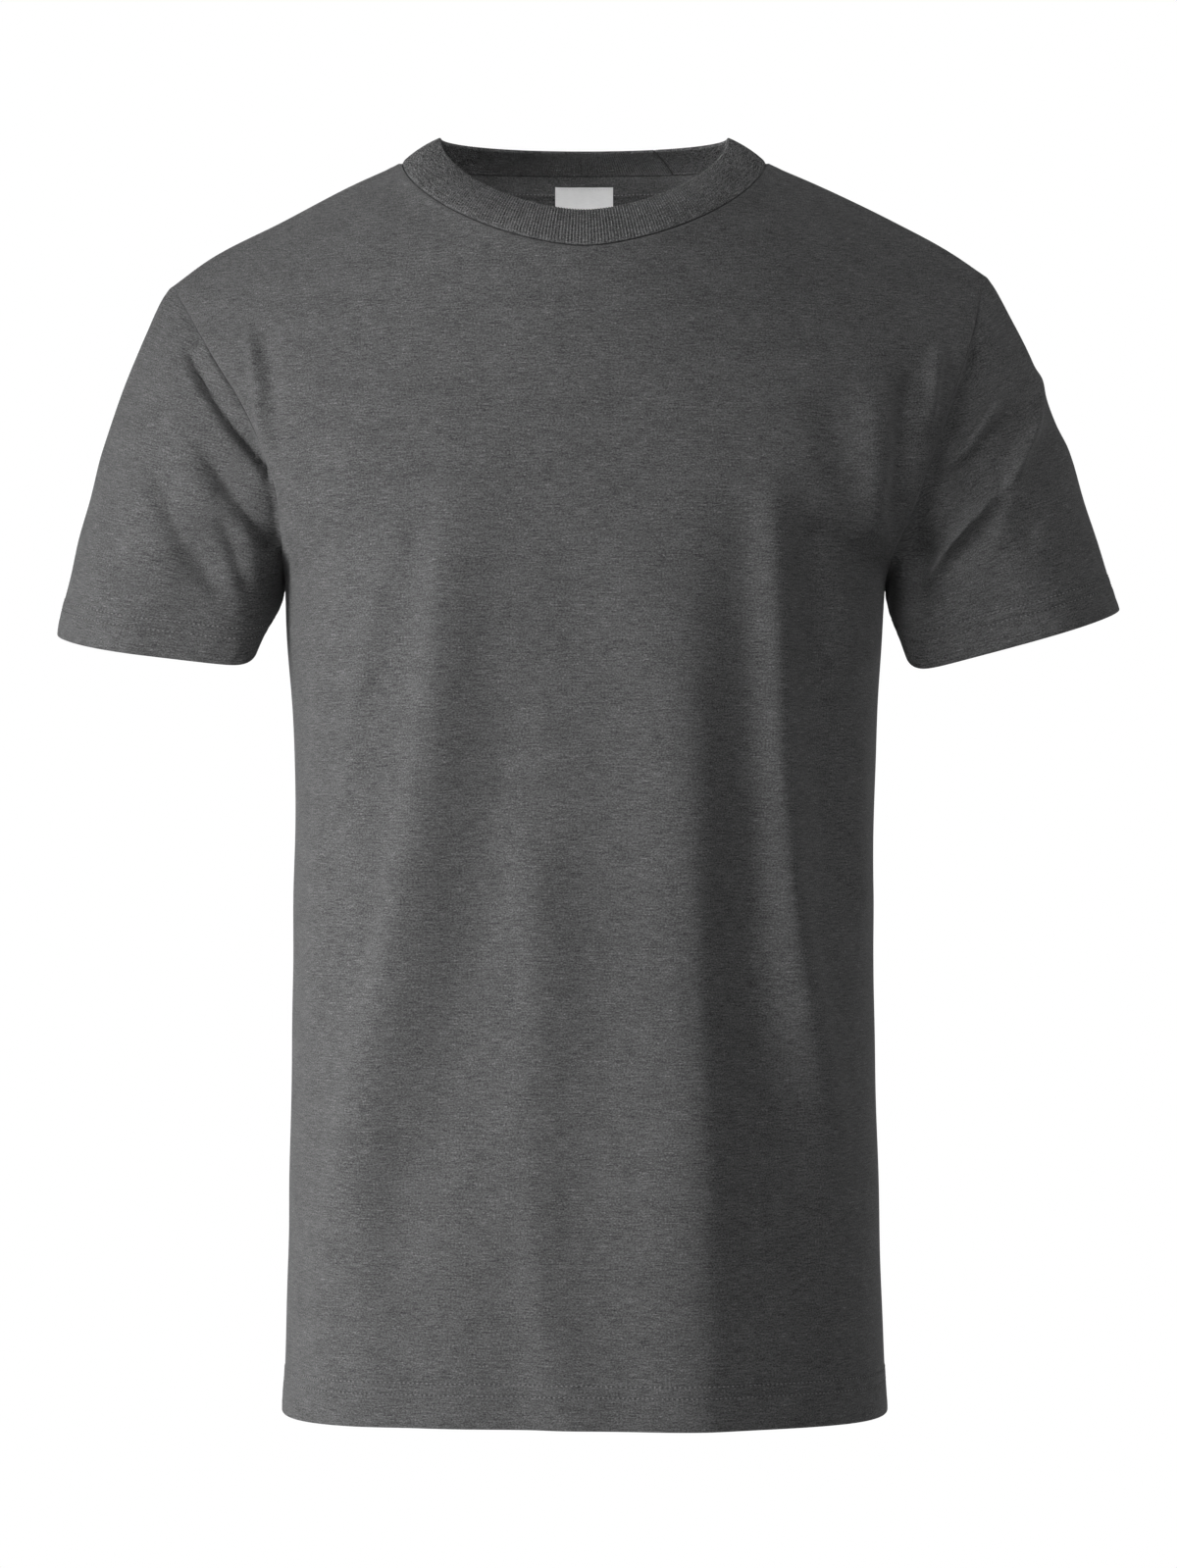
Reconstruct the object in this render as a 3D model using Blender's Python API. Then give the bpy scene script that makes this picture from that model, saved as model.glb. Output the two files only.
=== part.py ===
"""Crew neck t-shirt, filled out as if worn and hollow inside.

Seven pieces of cloth, each one closed wall: front, back, two set-in short sleeves, a double rib
collar band, the neck tape and a blank label. Neck, hem, cuffs and armholes are open.

Units are metres, +Z up. The front faces -Y. Sides are the wearer's, so the right is at -X. The
origin lies midway between the two points where the shoulder seams meet the collar.
"""

from collections import namedtuple

import bmesh
import bpy
import numpy as np

# Cloth and seams.
CLOTH = 0.0012
HEM_CLOTH = 0.0024
RIB_CLOTH = 0.0018
TAPE_CLOTH = 0.0010
GAP = 0.0003
HEM_DEPTH = 0.024
CUFF_DEPTH = 0.020
TURN_STEP = 0.0015  # length over which a turned hem's second layer ends

# Grid of each piece: stretches along an edge, and columns across.
SIDE_ROWS = 18
ARMHOLE_ROWS = 10
SHOULDER_SHARES = (0.22, 0.43, 0.62, 0.78, 0.915, 1.0)  # the last stretch is the neck tape's width
FRONT_COLUMNS = 24
BACK_COLUMNS = 20
SLEEVE_ROWS = 8
SLEEVE_SPLIT = 2  # sleeve columns for each armhole row
FINE = 160  # points of a curve before it is divided evenly
SHARP_ANGLE = 50  # degrees between faces, above which an edge is shaded sharp

# Collar, tape and label.
RIBS = 260
RIB_HEIGHT = 0.0005
COLLAR_BOW = 0.0012
TAPE_SHORT = 0.12  # share of a column by which the tape stops short of the shoulder seam
LABEL_CLOTH = 0.0010
LABEL_WIDTH = 0.034
LABEL_LENGTH = 0.040
LABEL_DROP = 0.006

# Folds fade out over this distance from a seam, and at their own ends over this share of length.
SEAM_CALM = 0.016
END_FADE = 0.22
FOLD_STEPS = 32  # stretches of a fold's line
FACING_START, FACING_RATE = 0.4, 1.6  # how fast a sleeve's fold fades as its surface turns away
HEM_FADE = 0.45  # share of its height that a fold which runs off the hem has lost there

# Way out along X from the middle to each side. The two armhole loops run opposite ways round, so
# it also turns a sleeve grid's normals outwards.
OUTWARD = {"right": -1.0, "left": 1.0}

# Half-widths at the side seams, from the hem up to the underarm.
Side = namedtuple("Side", "z x_right x_left")
SIDE_SEAM = (
    Side(-0.692, -0.1668, 0.1672),
    Side(-0.659, -0.1655, 0.1657),
    Side(-0.563, -0.1634, 0.1630),
    Side(-0.454, -0.1612, 0.1607),
    Side(-0.372, -0.1602, 0.1607),
    Side(-0.317, -0.1613, 0.1625),
    Side(-0.262, -0.1650, 0.1658),
    Side(-0.236, -0.1665, 0.1675),
)

# Armhole seams, from the underarm to the shoulder tip.
Point = namedtuple("Point", "x y z")
ARMHOLES = {
    ("right", "front"): (
        Point(-0.1665, 0.000, -0.236),
        Point(-0.1655, -0.050, -0.217),
        Point(-0.1695, -0.069, -0.182),
        Point(-0.1839, -0.066, -0.146),
        Point(-0.2061, -0.043, -0.109),
        Point(-0.2295, 0.000, -0.0685),
    ),
    ("right", "back"): (
        Point(-0.1665, 0.000, -0.236),
        Point(-0.1655, 0.052, -0.215),
        Point(-0.1700, 0.075, -0.178),
        Point(-0.1850, 0.072, -0.140),
        Point(-0.2070, 0.047, -0.104),
        Point(-0.2295, 0.000, -0.0685),
    ),
    ("left", "front"): (
        Point(0.1675, 0.000, -0.236),
        Point(0.1690, -0.050, -0.223),
        Point(0.1825, -0.069, -0.190),
        Point(0.1949, -0.065, -0.154),
        Point(0.2125, -0.042, -0.105),
        Point(0.2235, 0.000, -0.0625),
    ),
    ("left", "back"): (
        Point(0.1675, 0.000, -0.236),
        Point(0.1680, 0.052, -0.217),
        Point(0.1760, 0.075, -0.180),
        Point(0.1900, 0.072, -0.142),
        Point(0.2090, 0.047, -0.103),
        Point(0.2235, 0.000, -0.0625),
    ),
}

# Shoulder seams, from the tip to the collar.
SHOULDERS = {
    "right": (
        Point(-0.2295, 0.000, -0.0685),
        Point(-0.2110, 0.000, -0.0548),
        Point(-0.1684, 0.000, -0.0326),
        Point(-0.1264, 0.000, -0.0109),
        Point(-0.1015, 0.000, 0.0000),
    ),
    "left": (
        Point(0.2235, 0.000, -0.0625),
        Point(0.2056, 0.000, -0.0503),
        Point(0.1733, 0.000, -0.0327),
        Point(0.1273, 0.000, -0.0108),
        Point(0.1015, 0.000, 0.0000),
    ),
}

# Rows of a panel. The level counts edge stretches: 0 hem, 1 underarm, 2 shoulder tip, 3 collar.
# y and z are those of the middle. The square columns are the corner exponents at the wearer's
# right and left, drop is that of the height, and reach is how far round its curve a row goes.
Row = namedtuple("Row", "level y z square_right square_left drop reach")
FRONT_ROWS = (
    Row(0.00, -0.120, -0.6875, 3.1, 3.1, 2.0, 1.00),
    Row(0.20, -0.119, -0.597, 3.0, 2.9, 2.0, 1.00),
    Row(0.45, -0.118, -0.485, 2.8, 2.7, 2.0, 1.00),
    Row(0.75, -0.121, -0.350, 2.7, 2.6, 2.0, 1.00),
    Row(1.00, -0.125, -0.240, 2.6, 2.6, 2.0, 1.00),
    Row(1.35, -0.1245, -0.194, 2.5, 2.5, 2.0, 0.94),
    Row(1.65, -0.1220, -0.156, 2.3, 2.3, 2.0, 0.84),
    Row(2.00, -0.1165, -0.113, 2.1, 2.1, 2.0, 0.66),
    Row(2.50, -0.1090, -0.084, 2.0, 2.0, 1.8, 0.94),
    Row(3.00, -0.1000, -0.0597, 2.0, 2.0, 1.65, 1.00),
)
BACK_ROWS = (
    Row(0.00, 0.115, -0.689, 2.8, 2.8, 2.0, 1.00),
    Row(0.20, 0.110, -0.599, 2.7, 2.7, 2.0, 1.00),
    Row(0.45, 0.104, -0.486, 2.6, 2.6, 2.0, 1.00),
    Row(0.75, 0.111, -0.350, 2.6, 2.6, 2.0, 1.00),
    Row(1.00, 0.122, -0.238, 2.6, 2.6, 2.0, 1.00),
    Row(1.35, 0.1255, -0.187, 2.5, 2.5, 2.0, 0.94),
    Row(1.65, 0.1240, -0.148, 2.3, 2.3, 2.0, 0.84),
    Row(2.00, 0.1160, -0.094, 2.1, 2.1, 2.0, 0.66),
    Row(2.50, 0.0990, -0.043, 2.0, 2.0, 2.0, 0.94),
    Row(2.915, 0.0812, -0.0075, 2.0, 2.0, 2.0, 1.00),
    Row(3.00, 0.0770, 0.0045, 2.0, 2.0, 2.0, 1.00),
)

# Collar's top edge: its middle at front and back, and its sides at the shoulders.
COLLAR_FRONT = Row(3.00, -0.085, -0.038, 2.0, 2.0, 1.75, 1.00)
COLLAR_BACK = Row(3.00, 0.055, 0.0155, 2.1, 2.1, 2.0, 1.00)
COLLAR_SIDES = (Point(-0.0800, 0.0, 0.0140), Point(0.0800, 0.0, 0.0140))

# Cuffs: centre, half sizes of the ring, its rise for each metre along X and Y, and how far its
# underarm side is drawn up.
Cuff = namedtuple("Cuff", "x z half_x half_y rise_x rise_y draw_up")
CUFFS = {
    "right": Cuff(-0.2366, -0.2705, 0.0566, 0.062, -0.14, 0.12, 0.008),
    "left": Cuff(0.2388, -0.2664, 0.0594, 0.062, 0.28, 0.09, 0.013),
}
# Directions in which a sleeve leaves its seam at the tip and at the underarm, and enters the outer
# and the inner side of its cuff, with the pull of each in metres.
Lead = namedtuple("Lead", "out down pull")
Leads = namedtuple("Leads", "tip underarm cuff_outer cuff_inner")
LEADS = {
    "right": Leads(
        Lead(0.90, 0.44, 0.090), Lead(0.35, 0.94, 0.030),
        Lead(0.17, 0.98, 0.110), Lead(0.42, 0.91, 0.030),
    ),
    "left": Leads(
        Lead(0.90, 0.44, 0.082), Lead(0.35, 0.94, 0.030),
        Lead(0.30, 0.95, 0.110), Lead(0.42, 0.91, 0.030),
    ),
}

# Largest folds, as soft ridges (+) and troughs (-): a start, a bend and an end as x and z seen
# from straight ahead, the half-width and the height.
Fold = namedtuple("Fold", "start bend end width height")
FRONT_FOLDS = (
    Fold((-0.103, -0.198), (-0.127, -0.284), (-0.132, -0.373), 0.014, 0.0035),
    Fold((-0.083, -0.212), (-0.100, -0.350), (-0.139, -0.569), 0.017, 0.0060),
    Fold((-0.064, -0.207), (-0.074, -0.350), (-0.115, -0.617), 0.018, -0.0065),
    Fold((-0.018, -0.347), (-0.044, -0.460), (-0.052, -0.600), 0.017, 0.0040),
    Fold((0.026, -0.230), (0.039, -0.451), (0.056, -0.710), 0.024, 0.0075),
    Fold((0.062, -0.200), (0.071, -0.400), (0.090, -0.710), 0.018, -0.0110),
    Fold((0.090, -0.207), (0.103, -0.370), (0.122, -0.606), 0.015, 0.0050),
    Fold((0.101, -0.190), (0.130, -0.290), (0.135, -0.569), 0.015, -0.0065),
    Fold((0.105, -0.540), (0.112, -0.620), (0.118, -0.710), 0.026, -0.0050),
    Fold((0.138, -0.165), (0.150, -0.200), (0.160, -0.235), 0.013, 0.0045),
)
BACK_FOLDS = (
    Fold((-0.110, -0.210), (-0.095, -0.400), (-0.105, -0.700), 0.020, -0.0065),
    Fold((-0.070, -0.240), (-0.062, -0.420), (-0.078, -0.700), 0.020, 0.0055),
    Fold((-0.015, -0.330), (-0.020, -0.480), (-0.030, -0.710), 0.022, -0.0050),
    Fold((0.040, -0.250), (0.034, -0.430), (0.024, -0.700), 0.022, 0.0060),
    Fold((0.086, -0.220), (0.078, -0.410), (0.090, -0.710), 0.019, -0.0070),
    Fold((0.118, -0.240), (0.112, -0.420), (0.122, -0.640), 0.015, 0.0045),
    Fold((-0.130, -0.170), (-0.100, -0.150), (-0.060, -0.160), 0.016, 0.0025),
    Fold((0.130, -0.175), (0.098, -0.150), (0.062, -0.165), 0.016, 0.0025),
)
SLEEVE_FOLDS = {
    ("right", "front"): (
        Fold((-0.226, -0.094), (-0.202, -0.146), (-0.176, -0.186), 0.011, -0.0060),
        Fold((-0.216, -0.157), (-0.194, -0.190), (-0.170, -0.222), 0.010, -0.0050),
        Fold((-0.240, -0.160), (-0.226, -0.205), (-0.193, -0.254), 0.012, -0.0050),
        Fold((-0.208, -0.120), (-0.196, -0.160), (-0.176, -0.205), 0.010, 0.0040),
    ),
    ("right", "back"): (
        Fold((-0.228, -0.100), (-0.205, -0.150), (-0.180, -0.190), 0.012, -0.0055),
        Fold((-0.250, -0.170), (-0.226, -0.212), (-0.190, -0.240), 0.012, -0.0050),
    ),
    ("left", "front"): (
        Fold((0.226, -0.128), (0.205, -0.160), (0.188, -0.190), 0.010, 0.0045),
        Fold((0.228, -0.142), (0.212, -0.170), (0.194, -0.196), 0.010, -0.0055),
        Fold((0.248, -0.140), (0.226, -0.185), (0.178, -0.240), 0.011, 0.0055),
        Fold((0.243, -0.166), (0.222, -0.212), (0.200, -0.236), 0.012, -0.0055),
    ),
    ("left", "back"): (
        Fold((0.228, -0.100), (0.206, -0.150), (0.182, -0.190), 0.012, -0.0055),
        Fold((0.246, -0.160), (0.226, -0.205), (0.192, -0.240), 0.012, -0.0045),
    ),
}

# Finishes: colour in linear RGB, and roughness. None is metallic.
Finish = namedtuple("Finish", "colour roughness")
JERSEY = Finish((0.062, 0.064, 0.068), 0.92)
RIB_KNIT = Finish((0.054, 0.056, 0.060), 0.94)
TAPE_JERSEY = Finish((0.070, 0.072, 0.077), 0.90)
LABEL_SATIN = Finish((0.62, 0.63, 0.64), 0.60)


def unit(vectors):
    return vectors / np.linalg.norm(vectors, axis=-1, keepdims=True)


def distances(points):
    """Distance along a polyline from its first point to each of its points."""
    steps = np.linalg.norm(np.diff(points, axis=0), axis=1)
    return np.concatenate([[0.0], np.cumsum(steps)])


def smooth_table(stations, values, wanted):
    """Rows read from a table at the wanted stations, on a cubic whose slopes follow the rows."""
    stations = np.asarray(stations, float)
    values = np.asarray(values, float)
    slopes = np.gradient(values, stations, axis=0)
    index = np.clip(np.searchsorted(stations, wanted, side="right") - 1, 0, len(stations) - 2)
    length = (stations[index + 1] - stations[index])[:, None]
    t = (wanted - stations[index])[:, None] / length
    return (
        (2 * t**3 - 3 * t**2 + 1) * values[index]
        + (t**3 - 2 * t**2 + t) * length * slopes[index]
        + (3 * t**2 - 2 * t**3) * values[index + 1]
        + (t**3 - t**2) * length * slopes[index + 1]
    )


def along(points, wanted):
    """Points on a polyline at the wanted distances from its start."""
    run = distances(points)
    return np.stack([np.interp(wanted, run, points[:, axis]) for axis in range(3)], axis=1)


def smooth_curve(points, count):
    """A smooth curve through a few points, divided evenly into count stretches."""
    points = np.asarray(points, float)
    run = distances(points)
    fine = smooth_table(run, points, np.linspace(0.0, run[-1], FINE))
    return along(fine, np.linspace(0.0, distances(fine)[-1], count + 1))


def side_seam(side):
    """Side seam from the hem to the underarm, with two rows where the turned hem ends."""
    z = [row.z for row in SIDE_SEAM]
    x = [[row.x_right if side == "right" else row.x_left] for row in SIDE_SEAM]
    plain = np.linspace(z[0] + HEM_DEPTH + TURN_STEP, z[-1], SIDE_ROWS - 1)
    heights = np.concatenate([[z[0], z[0] + HEM_DEPTH], plain])
    across = smooth_table(z, x, heights)[:, 0]
    return np.stack([across, np.zeros(len(heights)), heights], axis=1)


def panel_edge(side, face):
    """Edge of a panel from the hem up the side seam, round the armhole and along the shoulder."""
    armhole = smooth_curve(ARMHOLES[side, face], ARMHOLE_ROWS)
    shoulder = smooth_curve(SHOULDERS[side], FINE)
    shoulder = along(shoulder, np.array(SHOULDER_SHARES) * distances(shoulder)[-1])
    return np.concatenate([side_seam(side), armhole[1:], shoulder])


def row_levels():
    """Level of each row: the whole part counts edge stretches, the rest is the share of one."""
    side = side_seam("right")[:, 2]
    return np.concatenate(
        [
            (side - side[0]) / (side[-1] - side[0]),
            1 + np.arange(1, ARMHOLE_ROWS + 1) / ARMHOLE_ROWS,
            2 + np.array(SHOULDER_SHARES),
        ]
    )


def bow(u, exponent, reach):
    """Rounded profile, 1 in the middle and 0 at the edge: the first part of a super-ellipse."""
    reach = min(reach, 1.0)
    low = (1 - reach**exponent) ** (1 / exponent)
    return ((1 - (u * reach) ** exponent) ** (1 / exponent) - low) / (1 - low)


def row_curve(right_edge, left_edge, row, columns):
    """One row across the body from its right edge through the middle to its left edge."""
    u = np.sin(np.linspace(0.0, np.pi / 2, FINE))
    halves = []
    for edge, exponent in ((right_edge, row.square_right), (left_edge, row.square_left)):
        x = u * edge[0]
        y = edge[1] + (row.y - edge[1]) * bow(u, exponent, row.reach)
        z = edge[2] + (row.z - edge[2]) * bow(u, row.drop, row.reach)
        halves.append(np.stack([x, y, z], axis=1))
    right, left = halves
    curve = np.concatenate([right[::-1], left[1:]])
    return along(curve, np.linspace(0.0, distances(curve)[-1], columns + 1))


def grid_normals(grid, closed):
    """Unit normals of a grid of points, from the rows and columns next to each."""
    if closed:
        across = np.roll(grid, -1, axis=1) - np.roll(grid, 1, axis=1)
    else:
        across = np.gradient(grid, axis=1)
    return unit(np.cross(across, np.gradient(grid, axis=0)))


def ease(share):
    share = np.clip(share, 0.0, 1.0)
    return share * share * (3 - 2 * share)


def fold_height(grid, folds):
    """Summed height of the folds at each point, by its distance from each fold's line."""
    flat = grid[..., (0, 2)]
    total = np.zeros(flat.shape[:-1])
    for fold in folds:
        knots = np.asarray([fold.start, fold.bend, fold.end])
        line = smooth_table([0.0, 0.5, 1.0], knots, np.linspace(0.0, 1.0, FOLD_STEPS + 1))
        away = np.linalg.norm(flat[..., None, :] - line, axis=-1)
        share = away.argmin(axis=-1) / FOLD_STEPS
        fade = ease(share / END_FADE) * ease((1 - share) / END_FADE)
        if fold.end[1] < SIDE_SEAM[0].z:
            fade = ease(share / END_FADE) * (1 - HEM_FADE * ease(2 * share - 1))
        total += fold.height * fade * np.exp(-((away.min(axis=-1) / fold.width) ** 2))
    return total


def calm_panel(grid):
    """Share of a fold's height that a panel's point takes: none at a seam, all at the hem."""
    across = np.cumsum(np.linalg.norm(np.diff(grid, axis=1), axis=2), axis=1)
    across = np.concatenate([np.zeros((len(grid), 1)), across], axis=1)
    sideways = np.minimum(across, across[:, -1:] - across)
    down = np.cumsum(np.linalg.norm(np.diff(grid[::-1], axis=0), axis=2), axis=0)
    from_top = np.concatenate([np.zeros((1, grid.shape[1])), down])[::-1]
    return ease(sideways / SEAM_CALM) * ease(from_top / SEAM_CALM)


def panel_form(face):
    """Outer points of the front or the back: rows from the hem up, columns in outward order."""
    table = FRONT_ROWS if face == "front" else BACK_ROWS
    columns = FRONT_COLUMNS if face == "front" else BACK_COLUMNS
    folds = FRONT_FOLDS if face == "front" else BACK_FOLDS
    keys = smooth_table([row.level for row in table], [row[1:] for row in table], row_levels())
    edges = zip(panel_edge("right", face), panel_edge("left", face), keys)
    rows = [row_curve(right, left, Row(0.0, *key), columns) for right, left, key in edges]
    grid = np.stack(rows)
    if face == "back":
        grid = grid[:, ::-1]
    raised = fold_height(grid, folds) * calm_panel(grid)
    return grid + raised[..., None] * grid_normals(grid, closed=False)


def armhole_loop(edge_front, edge_back):
    """Values round an armhole from the underarm up the front, over the tip and down the back."""
    first, last = SIDE_ROWS, SIDE_ROWS + ARMHOLE_ROWS
    return np.concatenate([edge_front[first : last + 1], edge_back[first + 1 : last][::-1]])


def split_loop(loop, parts):
    """A closed loop with each of its stretches divided evenly."""
    following = np.roll(loop, -1, axis=0)
    shares = np.arange(parts) / parts
    fine = loop[:, None] + (following - loop)[:, None] * shares[:, None]
    return fine.reshape(-1, 3)


def lead_vector(outward, lead):
    return np.array([outward * lead.out, 0.0, -lead.down]) * lead.pull


def sleeve_form(side, loop):
    """Outer points of a sleeve: rows from the armhole to the cuff, columns round the loop."""
    outward = OUTWARD[side]
    cuff = CUFFS[side]
    half = len(loop) // 2
    tip_run = distances(loop[: half + 1])
    back_run = distances(np.concatenate([loop[half:], loop[:1]]))
    share = np.concatenate([tip_run / tip_run[-1] / 2, 0.5 + back_run[1:-1] / back_run[-1] / 2])
    angle = 2 * np.pi * share
    x = -outward * cuff.half_x * np.cos(angle)
    y = -cuff.half_y * np.sin(angle)
    z = cuff.z + cuff.rise_x * x + cuff.rise_y * y
    z += cuff.draw_up * np.clip(np.cos(angle), 0.0, 1.0) ** 3
    ends = np.stack([cuff.x + x, y, z], axis=1)
    outer = ((1 - np.cos(angle)) / 2)[:, None]
    leads = [lead_vector(outward, lead) for lead in LEADS[side]]
    leave = (1 - outer) * leads[1] + outer * leads[0]
    enter = (1 - outer) * leads[3] + outer * leads[2]
    t = np.linspace(0.0, 1.0, FINE)[:, None]
    columns = []
    for start, end, first, last in zip(loop, ends, leave, enter):
        curve = (2 * t**3 - 3 * t**2 + 1) * start + (t**3 - 2 * t**2 + t) * first
        curve = curve + (3 * t**2 - 2 * t**3) * end + (t**3 - t**2) * last
        length = distances(curve)[-1]
        plain = np.linspace(0.0, length - CUFF_DEPTH - TURN_STEP, SLEEVE_ROWS - 1)
        columns.append(along(curve, np.concatenate([plain, [length - CUFF_DEPTH, length]])))
    grid = np.stack(columns, axis=1)
    normals = grid_normals(grid, closed=True) * -outward
    calm = np.linalg.norm(grid - grid[:1], axis=2)
    raised = np.zeros(grid.shape[:2])
    for face, facing in (("front", -normals[..., 1]), ("back", normals[..., 1])):
        shown = ease(FACING_START + FACING_RATE * facing)
        raised += fold_height(grid, SLEEVE_FOLDS[side, face]) * shown
    return grid + (raised * ease(calm / SEAM_CALM))[..., None] * normals


def setback(line, normals, inside, closed):
    """Moves that take an edge back from its seam, square to it and along the cloth."""
    if closed:
        tangents = np.roll(line, -1, axis=0) - np.roll(line, 1, axis=0)
    else:
        tangents = np.gradient(line, axis=0)
    square = unit(np.cross(normals, unit(tangents)))
    facing = np.sign(np.sum(square * (inside - line), axis=1, keepdims=True))
    return square * facing * GAP / 2


def panel_setbacks(grid, normals):
    """Moves of a panel's points away from its side, armhole, shoulder and neck seams."""
    moves = np.zeros_like(grid)
    underarm, tip, top = SIDE_ROWS, SIDE_ROWS + ARMHOLE_ROWS, len(grid) - 1
    for column, beside in ((0, 1), (-1, -2)):
        for first, last in ((0, underarm), (underarm, tip), (tip, top)):
            rows = slice(first, last + 1)
            edge, inside = grid[rows, column], grid[rows, beside]
            moves[rows, column] += setback(edge, normals[rows, column], inside, closed=False)
    moves[top] += setback(grid[top], normals[top], grid[top - 1], closed=False)
    return moves


def share_seam_normals(front, back):
    """Gives both panels one normal at each point of the side and shoulder seams."""
    for front_column, back_column in ((0, -1), (-1, 0)):
        for rows in (slice(0, SIDE_ROWS + 1), slice(SIDE_ROWS + ARMHOLE_ROWS, None)):
            shared = unit(front[rows, front_column] + back[rows, back_column])
            front[rows, front_column] = shared
            back[rows, back_column] = shared


def wall(name, outer, inner, closed, finish, collection):
    """A closed wall of cloth between two grids of points, as a named object."""
    if closed:
        outer = np.concatenate([outer, outer[:, :1]], axis=1)
        inner = np.concatenate([inner, inner[:, :1]], axis=1)
    rows, columns = outer.shape[:2]
    mesh = bmesh.new()
    bmesh.ops.create_grid(mesh, x_segments=columns - 1, y_segments=rows - 1, size=1.0)
    place = mesh.verts.layers.int.new("place")
    for vertex in mesh.verts:
        column = round((vertex.co.x + 1) / 2 * (columns - 1))
        row = round((vertex.co.y + 1) / 2 * (rows - 1))
        vertex[place] = row * columns + column
        vertex.co = outer[row, column]
    bmesh.ops.remove_doubles(mesh, verts=mesh.verts, dist=1e-7)
    made = bmesh.ops.extrude_face_region(mesh, geom=mesh.faces[:], use_keep_orig=True)
    for item in made["geom"]:
        if isinstance(item, bmesh.types.BMVert):
            item.co = inner[divmod(item[place], columns)]
    bmesh.ops.recalc_face_normals(mesh, faces=mesh.faces)
    data = bpy.data.meshes.new(name)
    mesh.to_mesh(data)
    mesh.free()
    data.shade_smooth()
    data.set_sharp_from_angle(angle=np.radians(SHARP_ANGLE))
    data.materials.append(cloth_material(name, finish))
    collection.objects.link(bpy.data.objects.new(name, data))


def cloth_material(name, finish):
    material = bpy.data.materials.new(name + "_cloth")
    material.use_nodes = True
    shader = material.node_tree.nodes["Principled BSDF"]
    shader.inputs["Base Color"].default_value = (*finish.colour, 1.0)
    shader.inputs["Roughness"].default_value = finish.roughness
    shader.inputs["Metallic"].default_value = 0.0
    material.diffuse_color = (*finish.colour, 1.0)
    return material


def panel_thickness(rows):
    """Wall thickness of each row of a panel: double on the turned hem."""
    thickness = np.full((rows, 1, 1), CLOTH)
    thickness[:2] = HEM_CLOTH
    return thickness


def panel_forms():
    """Outer points and normals of the front and the back."""
    outer = {face: panel_form(face) for face in ("front", "back")}
    normals = {face: grid_normals(grid, closed=False) for face, grid in outer.items()}
    share_seam_normals(normals["front"], normals["back"])
    return outer, normals


def build_sleeve(side, outer, normals, collection):
    """Makes one sleeve on its armhole's own points, and gives the panels its seam normals."""
    columns = (0, -1) if side == "right" else (-1, 0)
    edges = [outer[face][:, column] for face, column in zip(("front", "back"), columns)]
    coarse = armhole_loop(*edges)
    grid = sleeve_form(side, split_loop(coarse, SLEEVE_SPLIT))
    own = grid_normals(grid, closed=True) * -OUTWARD[side]
    panel = [normals[face][:, column] for face, column in zip(("front", "back"), columns)]
    shared = unit(armhole_loop(*panel) + own[0, ::SLEEVE_SPLIT])
    underarm, tip = SIDE_ROWS, SIDE_ROWS + ARMHOLE_ROWS
    normals["front"][underarm : tip + 1, columns[0]] = shared[: ARMHOLE_ROWS + 1]
    back = np.concatenate([shared[:1], shared[:ARMHOLE_ROWS - 1 : -1]])
    normals["back"][underarm : tip + 1, columns[1]] = back
    own[0] = split_loop(shared, SLEEVE_SPLIT)
    thickness = np.full((len(grid), 1, 1), CLOTH)
    thickness[-2:] = HEM_CLOTH
    moved = grid.copy()
    moved[0] += setback(grid[0], unit(own[0]), grid[1], closed=True)
    inner = moved - thickness * own
    wall("sleeve_" + side, moved, inner, True, JERSEY, collection)


def collar_form(front, back):
    """Outer points of the collar band: a plain base row on the neck seam, a middle and a top."""
    neck = [front[-1], back[-1]]
    tops = [
        row_curve(*COLLAR_SIDES, COLLAR_FRONT, FINE),
        row_curve(*COLLAR_SIDES, COLLAR_BACK, FINE)[::-1],
    ]
    base, top = [], []
    for low, high in zip(neck, tops):
        shares = np.arange(RIBS) / RIBS
        base.append(along(low, shares * distances(low)[-1]))
        top.append(along(high, shares * distances(high)[-1]))
    base, top = np.concatenate(base), np.concatenate(top)
    grid = np.stack([base, (base + top) / 2, top])
    grid[1] += COLLAR_BOW * grid_normals(grid, closed=True)[1]
    return grid


def build_collar(outer, normals, collection):
    grid = collar_form(outer["front"], outer["back"])
    own = grid_normals(grid, closed=True)
    seam = []
    for face in ("front", "back"):
        shares = np.arange(RIBS) / RIBS * distances(outer[face][-1])[-1]
        run = distances(outer[face][-1])
        top = normals[face][-1]
        seam.append(np.stack([np.interp(shares, run, top[:, a]) for a in range(3)], axis=1))
    own[0] = unit(np.concatenate(seam))
    moved = grid.copy()
    moved[0] += setback(grid[0], own[0], grid[1], closed=True)
    inner = moved - RIB_CLOTH * own
    moved[:, ::2] += RIB_HEIGHT * own[:, ::2]
    wall("collar", moved, inner, True, RIB_KNIT, collection)


def build_tape(inner, normals, collection):
    """Lays the tape on the inside of the back, over its top row of cloth from seam to seam."""
    line, lean = inner[-2:].copy(), normals[-2:]
    for column, beside in ((0, 1), (-1, -2)):
        line[:, column] += TAPE_SHORT * (inner[-2:, beside] - inner[-2:, column])
    outer = line - GAP * lean
    wall("neck_tape", outer, outer - TAPE_CLOTH * lean, False, TAPE_JERSEY, collection)


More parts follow.
